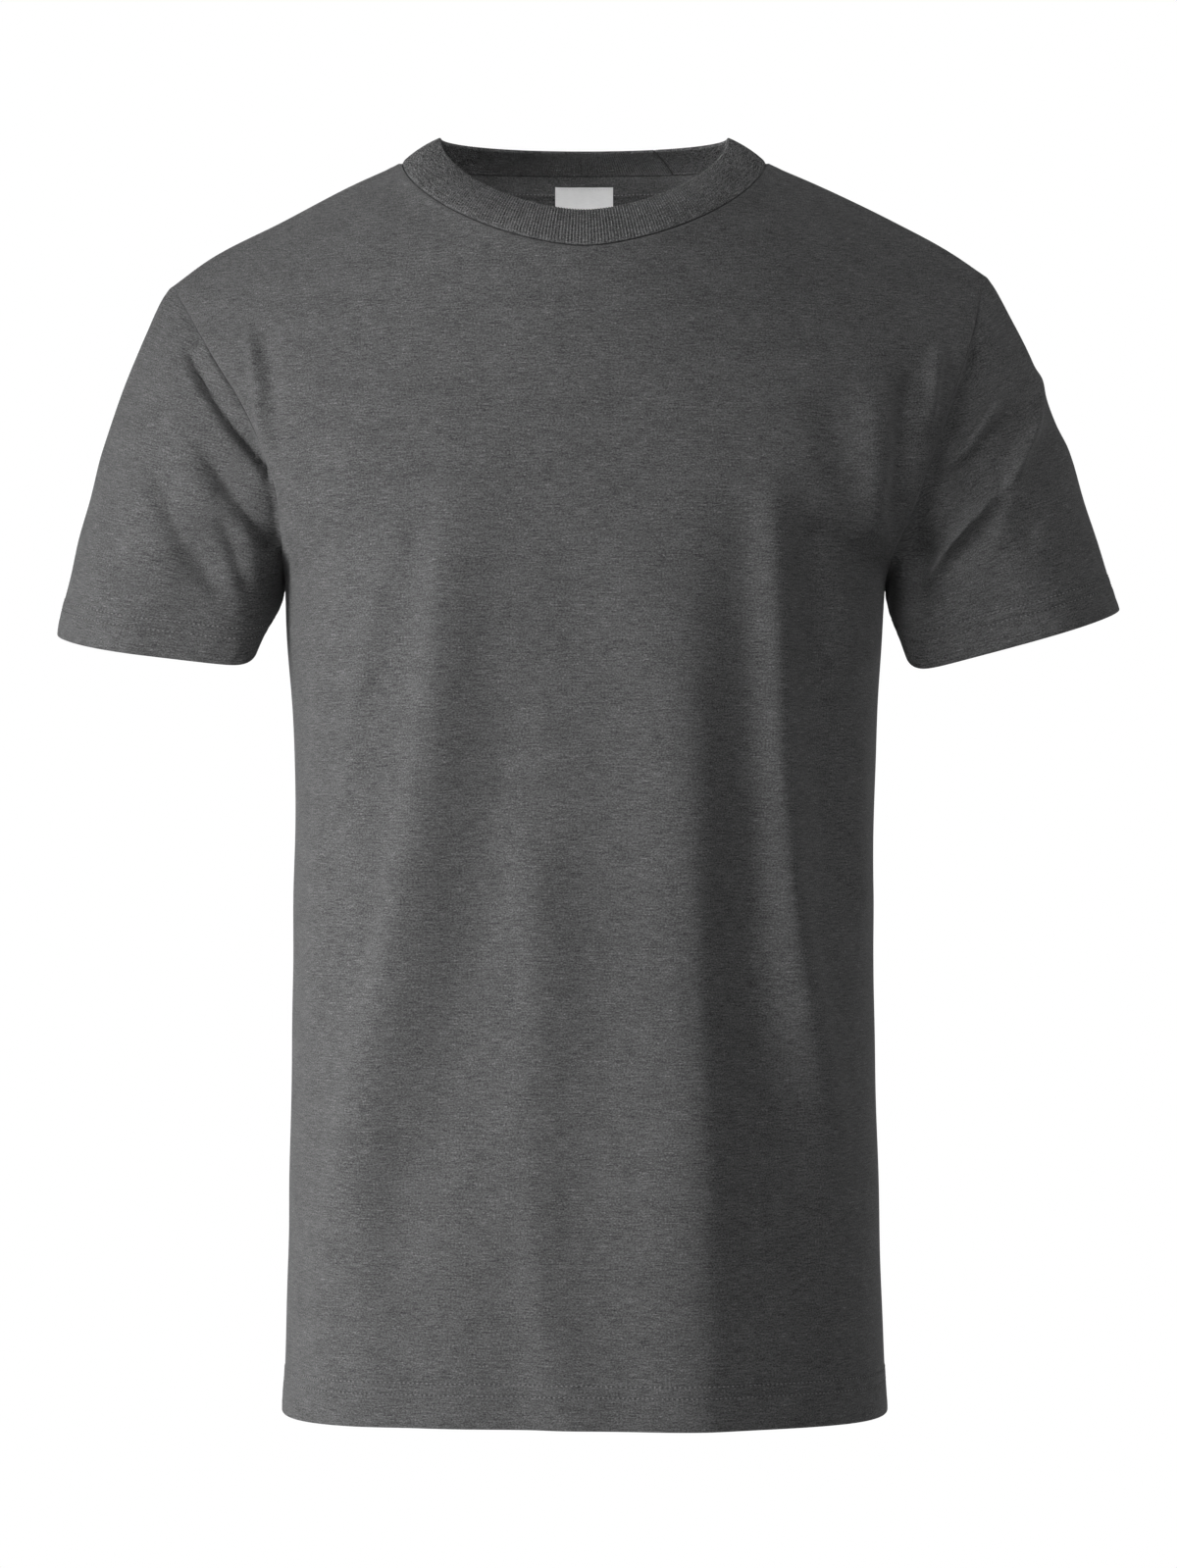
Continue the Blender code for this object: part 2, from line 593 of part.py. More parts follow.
def build_label(inner, normals, collection):
    """Hangs the label inside the middle of the back, over the tape."""
    middle = BACK_COLUMNS // 2
    pitch = np.linalg.norm(inner[-1, middle + 1] - inner[-1, middle])
    across = np.linspace(-LABEL_WIDTH / 2, LABEL_WIDTH / 2, 5) / pitch
    down = np.linspace(LABEL_DROP, LABEL_DROP + LABEL_LENGTH, 6)
    columns = []
    for offset in across:
        column = middle + int(np.floor(offset))
        share = offset - np.floor(offset)
        line = (1 - share) * inner[::-1, column] + share * inner[::-1, column + 1]
        lean = (1 - share) * normals[::-1, column] + share * normals[::-1, column + 1]
        lift = line - (2 * GAP + TAPE_CLOTH) * unit(lean)
        columns.append((along(lift, down), along(lift - LABEL_CLOTH * unit(lean), down)))
    outer, back = (np.stack([column[side] for column in columns], axis=1) for side in (0, 1))
    wall("label", outer, back, False, LABEL_SATIN, collection)


def main():
    for item in list(bpy.data.objects):
        bpy.data.objects.remove(item, do_unlink=True)
    collection = bpy.data.collections.new("crew_neck_t_shirt")
    bpy.context.scene.collection.children.link(collection)

    outer, normals = panel_forms()
    build_sleeve("right", outer, normals, collection)
    build_sleeve("left", outer, normals, collection)
    build_collar(outer, normals, collection)
    inner = {}
    for face in ("front", "back"):
        moved = outer[face] + panel_setbacks(outer[face], normals[face])
        inner[face] = moved - panel_thickness(len(moved)) * normals[face]
        wall(face, moved, inner[face], False, JERSEY, collection)

    build_tape(inner["back"], normals["back"], collection)
    build_label(inner["back"], normals["back"], collection)


main()
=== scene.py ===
"""Looks of a crew neck t-shirt: its cloth, folds, seams, sewing, finishes and studio.

Each piece of cloth is a thin closed shell on the form of its own node, finer than the node and
with the smaller creases, the seam lines and the stitches added. Units are metres, +Z up. The
front faces -Y. Sides are the wearer's, so the right is at -X.
"""

import logging
from dataclasses import dataclass, field
from enum import Enum
from typing import Sequence

import bmesh
import bpy
import numpy as np
from mathutils import Matrix, Vector


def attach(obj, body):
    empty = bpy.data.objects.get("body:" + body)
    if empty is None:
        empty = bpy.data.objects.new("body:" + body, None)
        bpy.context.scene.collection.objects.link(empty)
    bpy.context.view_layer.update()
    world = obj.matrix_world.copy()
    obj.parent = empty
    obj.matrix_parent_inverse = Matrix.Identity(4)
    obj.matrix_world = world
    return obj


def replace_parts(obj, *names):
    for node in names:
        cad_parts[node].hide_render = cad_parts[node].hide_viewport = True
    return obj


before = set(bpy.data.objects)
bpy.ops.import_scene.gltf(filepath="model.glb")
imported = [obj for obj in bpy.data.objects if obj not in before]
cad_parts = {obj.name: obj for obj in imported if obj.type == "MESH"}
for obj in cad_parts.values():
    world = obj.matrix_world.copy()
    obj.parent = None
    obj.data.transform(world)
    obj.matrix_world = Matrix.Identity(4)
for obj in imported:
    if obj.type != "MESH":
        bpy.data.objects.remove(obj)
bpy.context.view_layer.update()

LOG = logging.getLogger("crew_neck_t_shirt")
BODY = "root"

Array = np.ndarray
Pair = tuple[float, float]
Triple = tuple[float, float, float]
Socket = bpy.types.NodeSocket

# Cloth and sewing, as a cutter would state them.
JERSEY_THICK = 0.0009
RIB_THICK = 0.0018
HEM_THICK = 0.0018
HEM_DEPTH = 0.0250
CUFF_DEPTH = 0.0215
HEM_STITCH_ROWS = (0.0178, 0.0240)
CUFF_STITCH_ROWS = (0.0148, 0.0205)
STITCH_PITCH = 0.0026
LABEL_CLEAR = 0.00025  # gap between the label and the tape

# Seams.
SEAM_GAP = 0.00012
NECK_GAP = 0.00044
NECK_SETBACK = 0.0018  # distance over which a panel draws back from the neck seam
SEAM_STEPS = (0.0, 0.0004, 0.0009, 0.0016, 0.0026, 0.0042, 0.0064)
NECK_ROWS = 7  # rows of a panel that run straight up to the neck seam
NORMAL_REACH = 0.005  # distance over which the cloth turns to the direction that a seam shares
SEAM_SHADOW = 0.0006  # half-width of the shadow painted into the colour beside a seam
ARMHOLE_SHADE = 0.35  # strength of the shadow painted into the colour beside an armhole seam
TIP_REACH = 0.060  # the armhole groove grows over this distance from the shoulder tip

MM = 0.001
FINE = 420  # points of a curve before it is divided
FOLD_STEPS = 22  # stretches of a fold's line


# ---- Curves and grids of points ----


def unit(vectors: Array) -> Array:
    """Vectors of length one."""
    return vectors / np.linalg.norm(vectors, axis=-1, keepdims=True)


def distances(points: Array) -> Array:
    """Distance along a polyline from its first point to each of its points."""
    return np.concatenate([[0.0], np.cumsum(np.linalg.norm(np.diff(points, axis=0), axis=1))])


def ease(share: Array) -> Array:
    """A smooth step from 0 to 1."""
    share = np.clip(share, 0.0, 1.0)
    return share * share * (3 - 2 * share)


def fade(distance: Array, reach: float) -> Array:
    """A smooth fall from 1 at no distance to 0 at the reach."""
    return 1 - ease(distance / reach)


def bell(distance: Array, width: Array | float, power: float = 2.0) -> Array:
    """A bell curve that is 1 at no distance."""
    return np.exp(-((distance / width) ** power))


def blend(share: Array, first: Array | float, second: Array | float) -> Array:
    """The first where the share is 0, and the second where it is 1."""
    return (1 - share) * first + share * second


def cubic(t: Array, first: Array, last: Array, leave: Array, arrive: Array) -> Array:
    """A cubic from one value to another.

    Args:
        t: Share of the way.
        first: Value at the start.
        last: Value at the end.
        leave: Slope at the start, for the whole way.
        arrive: Slope at the end.

    Returns:
        The value at each share.
    """
    rise = (2 * t**3 - 3 * t**2 + 1) * first + (3 * t**2 - 2 * t**3) * last
    return rise + (t**3 - 2 * t**2 + t) * leave + (t**3 - t**2) * arrive


def smooth_table(stations: Sequence[float], values: Sequence, wanted: Array) -> Array:
    """Reads rows of a table on a cubic whose slopes follow the rows.

    Args:
        stations: Where each row of the table stands, rising.
        values: The rows.
        wanted: Where to read it.

    Returns:
        One row for each wanted station.
    """
    stations, values = np.asarray(stations, float), np.asarray(values, float)
    slopes = np.gradient(values, stations, axis=0)
    low = np.clip(np.searchsorted(stations, wanted, side="right") - 1, 0, len(stations) - 2)
    length = (stations[low + 1] - stations[low])[:, None]
    t = (wanted - stations[low])[:, None] / length
    return cubic(t, values[low], values[low + 1], length * slopes[low], length * slopes[low + 1])


def sampled(wanted: Array, run: Array, values: Array) -> Array:
    """Vectors at the wanted places of a run, from those at its own places."""
    return np.stack([np.interp(wanted, run, values[:, axis]) for axis in range(3)], axis=1)


def along(points: Array, wanted: Array) -> Array:
    """Points on a polyline at the wanted distances from its start."""
    return sampled(wanted, distances(points), points)


def smooth_curve(points: Sequence, count: int) -> Array:
    """Draws a smooth curve through a few points and divides it evenly.

    Args:
        points: The points that it passes through.
        count: Number of stretches.

    Returns:
        Points of the curve, one more than the stretches.
    """
    points = np.asarray(points, float)
    run = distances(points)
    fine = smooth_table(run, points, np.linspace(0.0, run[-1], FINE))
    return along(fine, np.linspace(0.0, distances(fine)[-1], count + 1))


def stations(length: float, cells: int, low: Sequence[float], high: Sequence[float]) -> Array:
    """Distances along a stretch, with fixed steps near its ends and even ones between.

    Args:
        length: Length of the stretch.
        cells: Number of even cells between the fixed steps.
        low: Steps from the start, rising from 0.
        high: Steps from the far end, rising from 0.

    Returns:
        Rising distances from 0 to the length.
    """
    even = np.linspace(low[-1], length - high[-1], cells + 1)[1:-1]
    return np.concatenate([low, even, length - np.asarray(high)[::-1]])


def looped(grid: Array) -> Array:
    """A grid with its first column again after its last."""
    return np.concatenate([grid, grid[:, :1]], axis=1)


def grid_normals(grid: Array, closed: bool) -> Array:
    """Unit normals of a grid of points.

    Args:
        grid: Rows by columns of points.
        closed: Whether the last column is followed by the first.

    Returns:
        Normals that point out where columns run anticlockwise and rows run up.
    """
    if closed:
        across = np.roll(grid, -1, axis=1) - np.roll(grid, 1, axis=1)
    else:
        across = np.gradient(grid, axis=1)
    return unit(np.cross(across, np.gradient(grid, axis=0)))


def run_up(grid: Array) -> Array:
    """Distance of each point along its column from the first row."""
    steps = np.cumsum(np.linalg.norm(np.diff(grid, axis=0), axis=2), axis=0)
    return np.concatenate([np.zeros((1, grid.shape[1])), steps])


def run_down(grid: Array) -> Array:
    """Distance of each point along its column from the last row."""
    up = run_up(grid)
    return up[-1:] - up


def run_across(grid: Array) -> Array:
    """Distance of each point along its row from the first column."""
    return run_up(grid.swapaxes(0, 1)).T


def from_sides(grid: Array) -> tuple[tuple[int, Array], ...]:
    """Index of each side's column, with the distance of each point from it along the row."""
    across = run_across(grid)
    return (0, across), (-1, across[:, -1:] - across)


def sideways(grid: Array) -> Array:
    """Distance of each point along its row from the nearer side."""
    return np.minimum(*(away for _, away in from_sides(grid)))


def unfold(grid: Array) -> Array:
    """Flat coordinates of each point, for the weave: across from the middle, and straight up.

    Args:
        grid: Rows by columns of points.

    Returns:
        Flat coordinates of each point, across and up.
    """
    across = run_across(grid[..., :2])
    middle = grid.shape[1] // 2
    return np.stack([across - across[:, middle : middle + 1], grid[..., 2]], axis=-1)


def waves(place: Array, lengths: Sequence[float], phase: float) -> Array:
    """Uneven ripples from -1 to 1: a sum of waves whose lengths share no common measure."""
    turns = ((2 * np.pi * place / length, n**2) for n, length in enumerate(lengths, 1))
    return sum(np.sin(turn + phase * square) for turn, square in turns) / len(lengths)


def fold_round(distance: Array, thickness: float) -> Array:
    """How far each face draws in near a folded edge, so that the edge is round.

    Args:
        distance: Distance from the edge.
        thickness: Thickness of the folded cloth.

    Returns:
        The move towards the middle of the cloth.
    """
    radius = thickness / 2
    inside = np.clip(radius - distance, 0.0, radius)
    return radius - np.sqrt(np.maximum(radius**2 - inside**2, (0.12 * radius) ** 2))


# ---- Folds, seams and sewing ----


@dataclass(frozen=True)
class Fold:
    """A soft ridge or trough that follows a line in the cloth, in millimetres."""

    line: tuple[Pair, ...]  # points of its middle as x and z, seen from straight ahead
    height: float  # height at its middle, below 0 for a trough
    width: float  # half-width on the side towards -X
    steep: float = 1.0  # half-width on the side towards +X, as a share of width
    fades: Pair = (0.25, 0.25)  # shares of its length over which it rises and falls
    hem_share: float = 0.0  # share of its height left at its end, where it runs off the hem
    power: float = 2.0  # exponent of its profile: 2 is round, less is pinched

    def rise(self, flat: Array) -> Array:
        """Works out the height of the fold in metres.

        Args:
            flat: Points, with x and z in the last axis.

        Returns:
            Height at each point.
        """
        line = smooth_curve(MM * np.array([(x, 0.0, z) for x, z in self.line]), FOLD_STEPS)[:, (0, 2)]
        nearest = np.full(flat.shape[:-1], np.inf)
        share, side = np.zeros_like(nearest), np.zeros_like(nearest)
        for index, (start, end) in enumerate(zip(line, line[1:])):
            step = end - start
            t = np.clip(((flat - start) @ step) / (step @ step), 0.0, 1.0)
            off = flat - start - t[..., None] * step
            away = np.hypot(off[..., 0], off[..., 1])
            closer = away < nearest
            nearest = np.where(closer, away, nearest)
            share = np.where(closer, (index + t) / FOLD_STEPS, share)
            turn = 1.0 if step[1] < 0 else -1.0
            side = np.where(closer, turn * (off[..., 1] * step[0] - off[..., 0] * step[1]), side)
        width = MM * self.width * np.where(side > 0, self.steep, 1.0)
        end = blend(ease((1 - share) / self.fades[1]), self.hem_share, 1.0)
        return MM * self.height * ease(share / self.fades[0]) * end * bell(nearest, width, self.power)


def folded(grid: Array, folds: Sequence[Fold]) -> Array:
    """Summed height of the folds at each point of a grid."""
    flat = grid[..., (0, 2)]
    return sum((fold.rise(flat) for fold in folds), np.zeros(flat.shape[:-1]))


@dataclass(frozen=True)
class Seam:
    """The relief that a sewn seam leaves in the cloth beside it."""

    depth: float  # depth of the groove at the seam
    width: float = 0.0011  # distance over which the groove rises
    puff: float = 0.0  # how far the seam allowance under the cloth lifts it
    allowance: float = 0.0065  # how far the seam allowance reaches from the seam
    pucker: float = 0.0  # height of the puckers beside the seam
    reach: float = 0.010  # how far the puckers reach from the seam

    def relief(self, away: Array, place: Array, share: Array | float = 1.0) -> Array:
        """Height of the cloth beside the seam.

        Args:
            away: Distance from the seam.
            place: Distance along the seam.
            share: Share of its depth that the groove has there.

        Returns:
            Height, below 0 in the groove.
        """
        lift = ease((away - 0.0006) / 0.0016) * fade(away - self.allowance, 0.0025)
        ripple = waves(place, (0.0093, 0.0142, 0.0231), 1.7)
        tug = self.pucker * ripple * bell(away, self.reach) * ease(away / 0.002)
        return self.puff * lift + tug - self.depth * share * bell(away, self.width)


SIDE_SEAM_RELIEF = Seam(depth=0.0006, puff=0.00025, pucker=0.00018)
UNDERARM_RELIEF = Seam(depth=0.0006, width=0.0013, puff=0.00025, pucker=0.0002)
ARMHOLE_BODY = Seam(depth=0.0018, width=0.0017, pucker=0.00016)
ARMHOLE_SLEEVE = Seam(depth=0.0018, width=0.0052, pucker=0.00025)
SHOULDER_RELIEF = Seam(depth=0.0004, puff=0.0002)
NECK_BODY = Seam(depth=0.0004, width=0.0008, puff=0.00025, pucker=0.00020, reach=0.009)


def groove_share(from_tip: Array) -> Array:
    """Share of the armhole groove's depth: shallow at the shoulder tip."""
    return blend(ease(from_tip / TIP_REACH), 0.12, 1.0)


@dataclass(frozen=True)
class Hem:
    """A turned hem with two rows of stitches."""

    depth: float  # how far up the turned layer reaches
    rows: Pair  # distance of each row of stitches from the edge
    twist: float = 0.00030  # height of the slanting ripples of the turned layer
    groove: float = 0.00042  # depth that the stitches draw the cloth in
    groove_width: float = 0.0007  # half-width of that groove
    step: float = 0.00030  # how much the double layer stands out

    def steps(self) -> Array:
        """Distances from the edge at which the cloth has rows of points."""
        near = [HEM_THICK / 2 * share for share in (0.0, 0.06, 0.2, 0.45, 0.8)]
        beside = [row + off for row in self.rows for off in (-0.0012, -0.0005, 0.0, 0.0005, 0.0012)]
        plain = np.arange(0.0030, self.rows[0] - 0.0020, 0.0028)
        end = [self.depth + off for off in (0.0006, 0.0014, 0.0040)]
        return np.array(sorted([*near, *plain, 0.5 * sum(self.rows), *beside, *end]))

    def relief(self, away: Array, place: Array) -> Array:
        """Height of the cloth near the hem.

        Args:
            away: Distance from the edge.
            place: Distance along the hem.

        Returns:
            Height of the outer face.
        """
        total = self.step * fade(away - self.rows[-1] + 0.0004, 0.0022)
        for row in self.rows:
            total = total - self.groove * bell(away - row, self.groove_width)
        slant = waves(place + 0.8 * away, (0.0112, 0.0187, 0.0301), 0.6)
        window = ease(away / 0.004) * fade(away - self.rows[0] + 0.004, 0.004)
        return total + self.twist * slant * window

    def thickness(self, away: Array) -> Array:
        """Thickness of the cloth: double below the end of the turned layer."""
        return blend(ease((away - self.depth) / 0.0006), HEM_THICK, JERSEY_THICK)


BODY_HEM = Hem(HEM_DEPTH, HEM_STITCH_ROWS)
CUFF_HEM = Hem(CUFF_DEPTH, CUFF_STITCH_ROWS, twist=0.00035)


@dataclass
class Shell:
    """A thin closed shell of cloth between an outer and an inner grid of points."""

    name: str
    outer: Array  # rows by columns of points of the outer face
    inner: Array  # the same of the inner face
    chart: Array  # flat coordinates, one column more on a closed shell
    shade: Array | float = 0.0  # 1 where a seam's shadow is painted darkest into the colour
    closed: bool = False  # whether the last column joins the first
    lining: float = 0.0  # share of the painted seam shadow that the inner face shows

    def build(self) -> bpy.types.Object:
        """Makes the mesh from a grid that is folded over its own thickness."""
        parts = (self.outer, self.inner, np.broadcast_to(self.shade, self.outer.shape[:2]))
        outer, inner, shade = (looped(part) for part in parts) if self.closed else parts
        rows, columns = outer.shape[:2]
        flat_outer, flat_inner = outer.reshape(-1, 3), inner.reshape(-1, 3)
        chart = self.chart.reshape(-1, 2).tolist()
        mesh = bmesh.new()
        bmesh.ops.create_grid(mesh, x_segments=columns - 1, y_segments=rows - 1, size=1.0)
        place = mesh.verts.layers.int.new("place")
        # seam_shade is the painted seam shadow, by which the finish darkens the colour
        dark = mesh.verts.layers.float.new("seam_shade")
        for vertex in mesh.verts:
            column = round((vertex.co.x + 1) / 2 * (columns - 1))
            row = round((vertex.co.y + 1) / 2 * (rows - 1))
            vertex[place] = row * columns + column
            vertex.co = flat_outer[vertex[place]]
            vertex[dark] = shade[row, column]
        weave = mesh.loops.layers.uv.new("weave")
        for face in mesh.faces:
            for loop in face.loops:
                loop[weave].uv = chart[loop.vert[place]]
        if self.closed:
            bmesh.ops.remove_doubles(mesh, verts=mesh.verts, dist=1e-7)
        made = bmesh.ops.extrude_face_region(mesh, geom=mesh.faces[:], use_keep_orig=True)
        for item in made["geom"]:
            if isinstance(item, bmesh.types.BMVert):
                item.co = flat_inner[item[place]]
                # the inner face keeps only the lining's share of the painted shadow
                item[dark] *= self.lining
        bmesh.ops.recalc_face_normals(mesh, faces=mesh.faces)
        mesh.verts.layers.int.remove(place)
        return piece_of(self.name, mesh)


def link(name: str, data: bpy.types.ID) -> bpy.types.Object:
    """Makes an object at the origin from its data and links it to the scene.

    Args:
        name: Name of the object.
        data: Its mesh, light or camera.

    Returns:
        The new object, in the scene.
    """
    made = bpy.data.objects.new(name, data)
    bpy.context.scene.collection.objects.link(made)
    return made


def piece_of(name: str, mesh: bmesh.types.BMesh, sharp: float = 50.0) -> bpy.types.Object:
    """Turns a bmesh into a smooth object at the origin.

    Args:
        name: Name of the object.
        mesh: The mesh, which is freed.
        sharp: Angle in degrees above which an edge is shaded sharp.

    Returns:
        The object, linked to the scene.
    """
    data = bpy.data.meshes.new(name)
    mesh.to_mesh(data)
    mesh.free()
    data.shade_smooth()
    data.set_sharp_from_angle(angle=np.radians(sharp))
    return link(name, data)


@dataclass
class StitchRuns:
    """Rows of stitches, each stitch a small slim bead of thread that dives in at its ends."""

    name: str
    pitch: float = STITCH_PITCH  # distance from one stitch to the next
    length: float = 0.0026  # length of a stitch
    width: float = 0.00072  # width of the thread
    lift: float = 0.00016  # height of its middle above the cloth
    beads: list[Matrix] = field(default_factory=list)  # places of the stitches

    def add(self, line: Array, normals: Array) -> None:
        """Lays a row of stitches.

        Args:
            line: Points of the row on the face of the cloth.
            normals: Direction out of the cloth at each point.
        """
        run = distances(line)
        count = max(2, round(run[-1] / self.pitch))
        middles = (np.arange(count) + 0.5) * run[-1] / count
        half = 0.25 * self.pitch
        out = unit(sampled(middles, run, normals))
        ahead = unit(along(line, middles + half) - along(line, middles - half))
        size = Matrix.Diagonal((self.length / 2, self.width / 2, self.width / 2, 1.0))
        for point, x, y, z in zip(along(line, middles), ahead, np.cross(out, ahead), out):
            turn = Matrix((x, y, z)).transposed().to_4x4()
            self.beads.append(Matrix.Translation(Vector(point + self.lift * z)) @ turn @ size)

    def add_hem(self, hem: Hem, outer: Array, normals: Array, up: Array) -> None:
        """Lays the rows of a hem.

        Args:
            hem: The hem.
            outer: Rows by columns of points on the face of the cloth.
            normals: Direction out of the cloth at each of them.
            up: Distance of each row from the edge.
        """
        for place in hem.rows:
            row = int(np.abs(up - place).argmin())
            self.add(outer[row], normals[row])

    def build(self) -> bpy.types.Object:
        """Makes all the stitches as one piece."""
        mesh = bmesh.new()
        # share of the way from a stitch's middle to its end, where the thread's finish paints the shade of
        # the needle holes
        dive = mesh.verts.layers.float.new("dive")
        for bead in self.beads:
            made = bmesh.ops.create_icosphere(mesh, subdivisions=1, radius=1.0, matrix=bead)
            back = bead.inverted()
            for vertex in made["verts"]:
                vertex[dive] = abs((back @ vertex.co).x)
        return piece_of(self.name, mesh, sharp=180.0)


# ---- Tables of the cut, the same as those of the nodes ----


class Side(Enum):
    """The wearer's sides. The value is the way out from the middle along X."""

    RIGHT = -1.0
    LEFT = 1.0

    @property
    def word(self) -> str:
        """The side's name in a piece's name."""
        return self.name.lower()


class Face(Enum):
    """The two body panels."""

    FRONT = "front"
    BACK = "back"


@dataclass(frozen=True)
class RowKey:
    """One row of a panel: where its middle is, and how it curves round to its edges."""

    level: float  # height in stretches of the edge: 0 hem, 1 underarm, 2 shoulder tip, 3 collar
    y: float  # depth of the middle
    z: float  # height of the middle
    square: Pair = (2.0, 2.0)  # corner exponents at the wearer's right and left
    drop: float = 2.0  # exponent of the height
    reach: float = 1.0  # how far round its curve the row goes

    def numbers(self) -> tuple[float, ...]:
        """All but the level."""
        return (self.y, self.z, *self.square, self.drop, self.reach)

    @staticmethod
    def bow(u: Array, exponent: float, reach: float) -> Array:
        """Rounded profile, 1 in the middle and 0 at the edge.

        Args:
            u: Place from 0 in the middle to 1 at the edge.
            exponent: Corner exponent.
            reach: How far round its curve the row goes.

        Returns:
            Height of the profile at each place.
        """
        reach = min(reach, 1.0)
        low = (1 - reach**exponent) ** (1 / exponent)
        return ((1 - (u * reach) ** exponent) ** (1 / exponent) - low) / (1 - low)

    def curve(self, right: Array, left: Array) -> Array:
        """The row as a fine polyline.

        Args:
            right: The point at the wearer's right edge.
            left: The point at the wearer's left edge.

        Returns:
            Points from the right edge through the middle to the left edge.
        """
        u = np.sin(np.linspace(0.0, np.pi / 2, FINE))
        drop = self.bow(u, self.drop, self.reach)
        halves = []
        for edge, exponent in ((right, self.square[0]), (left, self.square[1])):
            y = edge[1] + (self.y - edge[1]) * self.bow(u, exponent, self.reach)
            z = edge[2] + (self.z - edge[2]) * drop
            halves.append(np.stack([u * edge[0], y, z], axis=1))
        return np.concatenate([halves[0][::-1], halves[1][1:]])


# Half-widths at the side seams from the hem up: height, wearer's right, wearer's left.
SIDE_SEAMS = (
    (-0.692, -0.1668, 0.1672),
    (-0.659, -0.1655, 0.1657),
    (-0.563, -0.1634, 0.1630),
    (-0.454, -0.1612, 0.1607),
    (-0.372, -0.1602, 0.1607),
    (-0.317, -0.1613, 0.1625),
    (-0.262, -0.1650, 0.1658),
    (-0.236, -0.1665, 0.1675),
)

# Armhole seams from the underarm to the shoulder tip.
ARMHOLES = {
    (Side.RIGHT, Face.FRONT): (
        (-0.1665, 0.000, -0.236), (-0.1655, -0.050, -0.217), (-0.1695, -0.069, -0.182),
        (-0.1839, -0.066, -0.146), (-0.2061, -0.043, -0.109), (-0.2295, 0.000, -0.0685),
    ),
    (Side.RIGHT, Face.BACK): (
        (-0.1665, 0.000, -0.236), (-0.1655, 0.052, -0.215), (-0.1700, 0.075, -0.178),
        (-0.1850, 0.072, -0.140), (-0.2070, 0.047, -0.104), (-0.2295, 0.000, -0.0685),
    ),
    (Side.LEFT, Face.FRONT): (
        (0.1675, 0.000, -0.236), (0.1690, -0.050, -0.223), (0.1825, -0.069, -0.190),
        (0.1949, -0.065, -0.154), (0.2125, -0.042, -0.105), (0.2235, 0.000, -0.0625),
    ),
    (Side.LEFT, Face.BACK): (
        (0.1675, 0.000, -0.236), (0.1680, 0.052, -0.217), (0.1760, 0.075, -0.180),
        (0.1900, 0.072, -0.142), (0.2090, 0.047, -0.103), (0.2235, 0.000, -0.0625),
    ),
}

# Shoulder seams from the tip to the collar.
SHOULDERS = {
    Side.RIGHT: (
        (-0.2295, 0.0, -0.0685), (-0.2110, 0.0, -0.0548), (-0.1684, 0.0, -0.0326),
        (-0.1264, 0.0, -0.0109), (-0.1015, 0.0, 0.0000),
    ),
    Side.LEFT: (
        (0.2235, 0.0, -0.0625), (0.2056, 0.0, -0.0503), (0.1733, 0.0, -0.0327),
        (0.1273, 0.0, -0.0108), (0.1015, 0.0, 0.0000),
    ),
}

PANEL_ROWS = {
    Face.FRONT: (
        RowKey(0.00, -0.120, -0.6875, (3.1, 3.1)),
        RowKey(0.20, -0.119, -0.597, (3.0, 2.9)),
        RowKey(0.45, -0.118, -0.485, (2.8, 2.7)),
        RowKey(0.75, -0.121, -0.350, (2.7, 2.6)),
        RowKey(1.00, -0.125, -0.240, (2.6, 2.6)),
        RowKey(1.35, -0.1245, -0.194, (2.5, 2.5), 2.0, 0.94),
        RowKey(1.65, -0.1220, -0.156, (2.3, 2.3), 2.0, 0.84),
        RowKey(2.00, -0.1165, -0.113, (2.1, 2.1), 2.0, 0.66),
        RowKey(2.50, -0.1090, -0.084, (2.0, 2.0), 1.8, 0.94),
        RowKey(3.00, -0.1000, -0.0597, (2.0, 2.0), 1.65, 1.00),
    ),
    Face.BACK: (
        RowKey(0.00, 0.115, -0.689, (2.8, 2.8)),
        RowKey(0.20, 0.110, -0.599, (2.7, 2.7)),
        RowKey(0.45, 0.104, -0.486, (2.6, 2.6)),
        RowKey(0.75, 0.111, -0.350, (2.6, 2.6)),
        RowKey(1.00, 0.122, -0.238, (2.6, 2.6)),
        RowKey(1.35, 0.1255, -0.187, (2.5, 2.5), 2.0, 0.94),
        RowKey(1.65, 0.1240, -0.148, (2.3, 2.3), 2.0, 0.84),
        RowKey(2.00, 0.1160, -0.094, (2.1, 2.1), 2.0, 0.66),
        RowKey(2.50, 0.0990, -0.043, (2.0, 2.0), 2.0, 0.94),
        RowKey(2.915, 0.0812, -0.0075),
        RowKey(3.00, 0.0770, 0.0045),
    ),
}

COLLAR_TOP = {
    Face.FRONT: RowKey(3.00, -0.085, -0.038, (2.0, 2.0), 1.75),
    Face.BACK: RowKey(3.00, 0.055, 0.0155, (2.1, 2.1)),
}
COLLAR_SIDE = np.array([0.0800, 0.0, 0.0140])
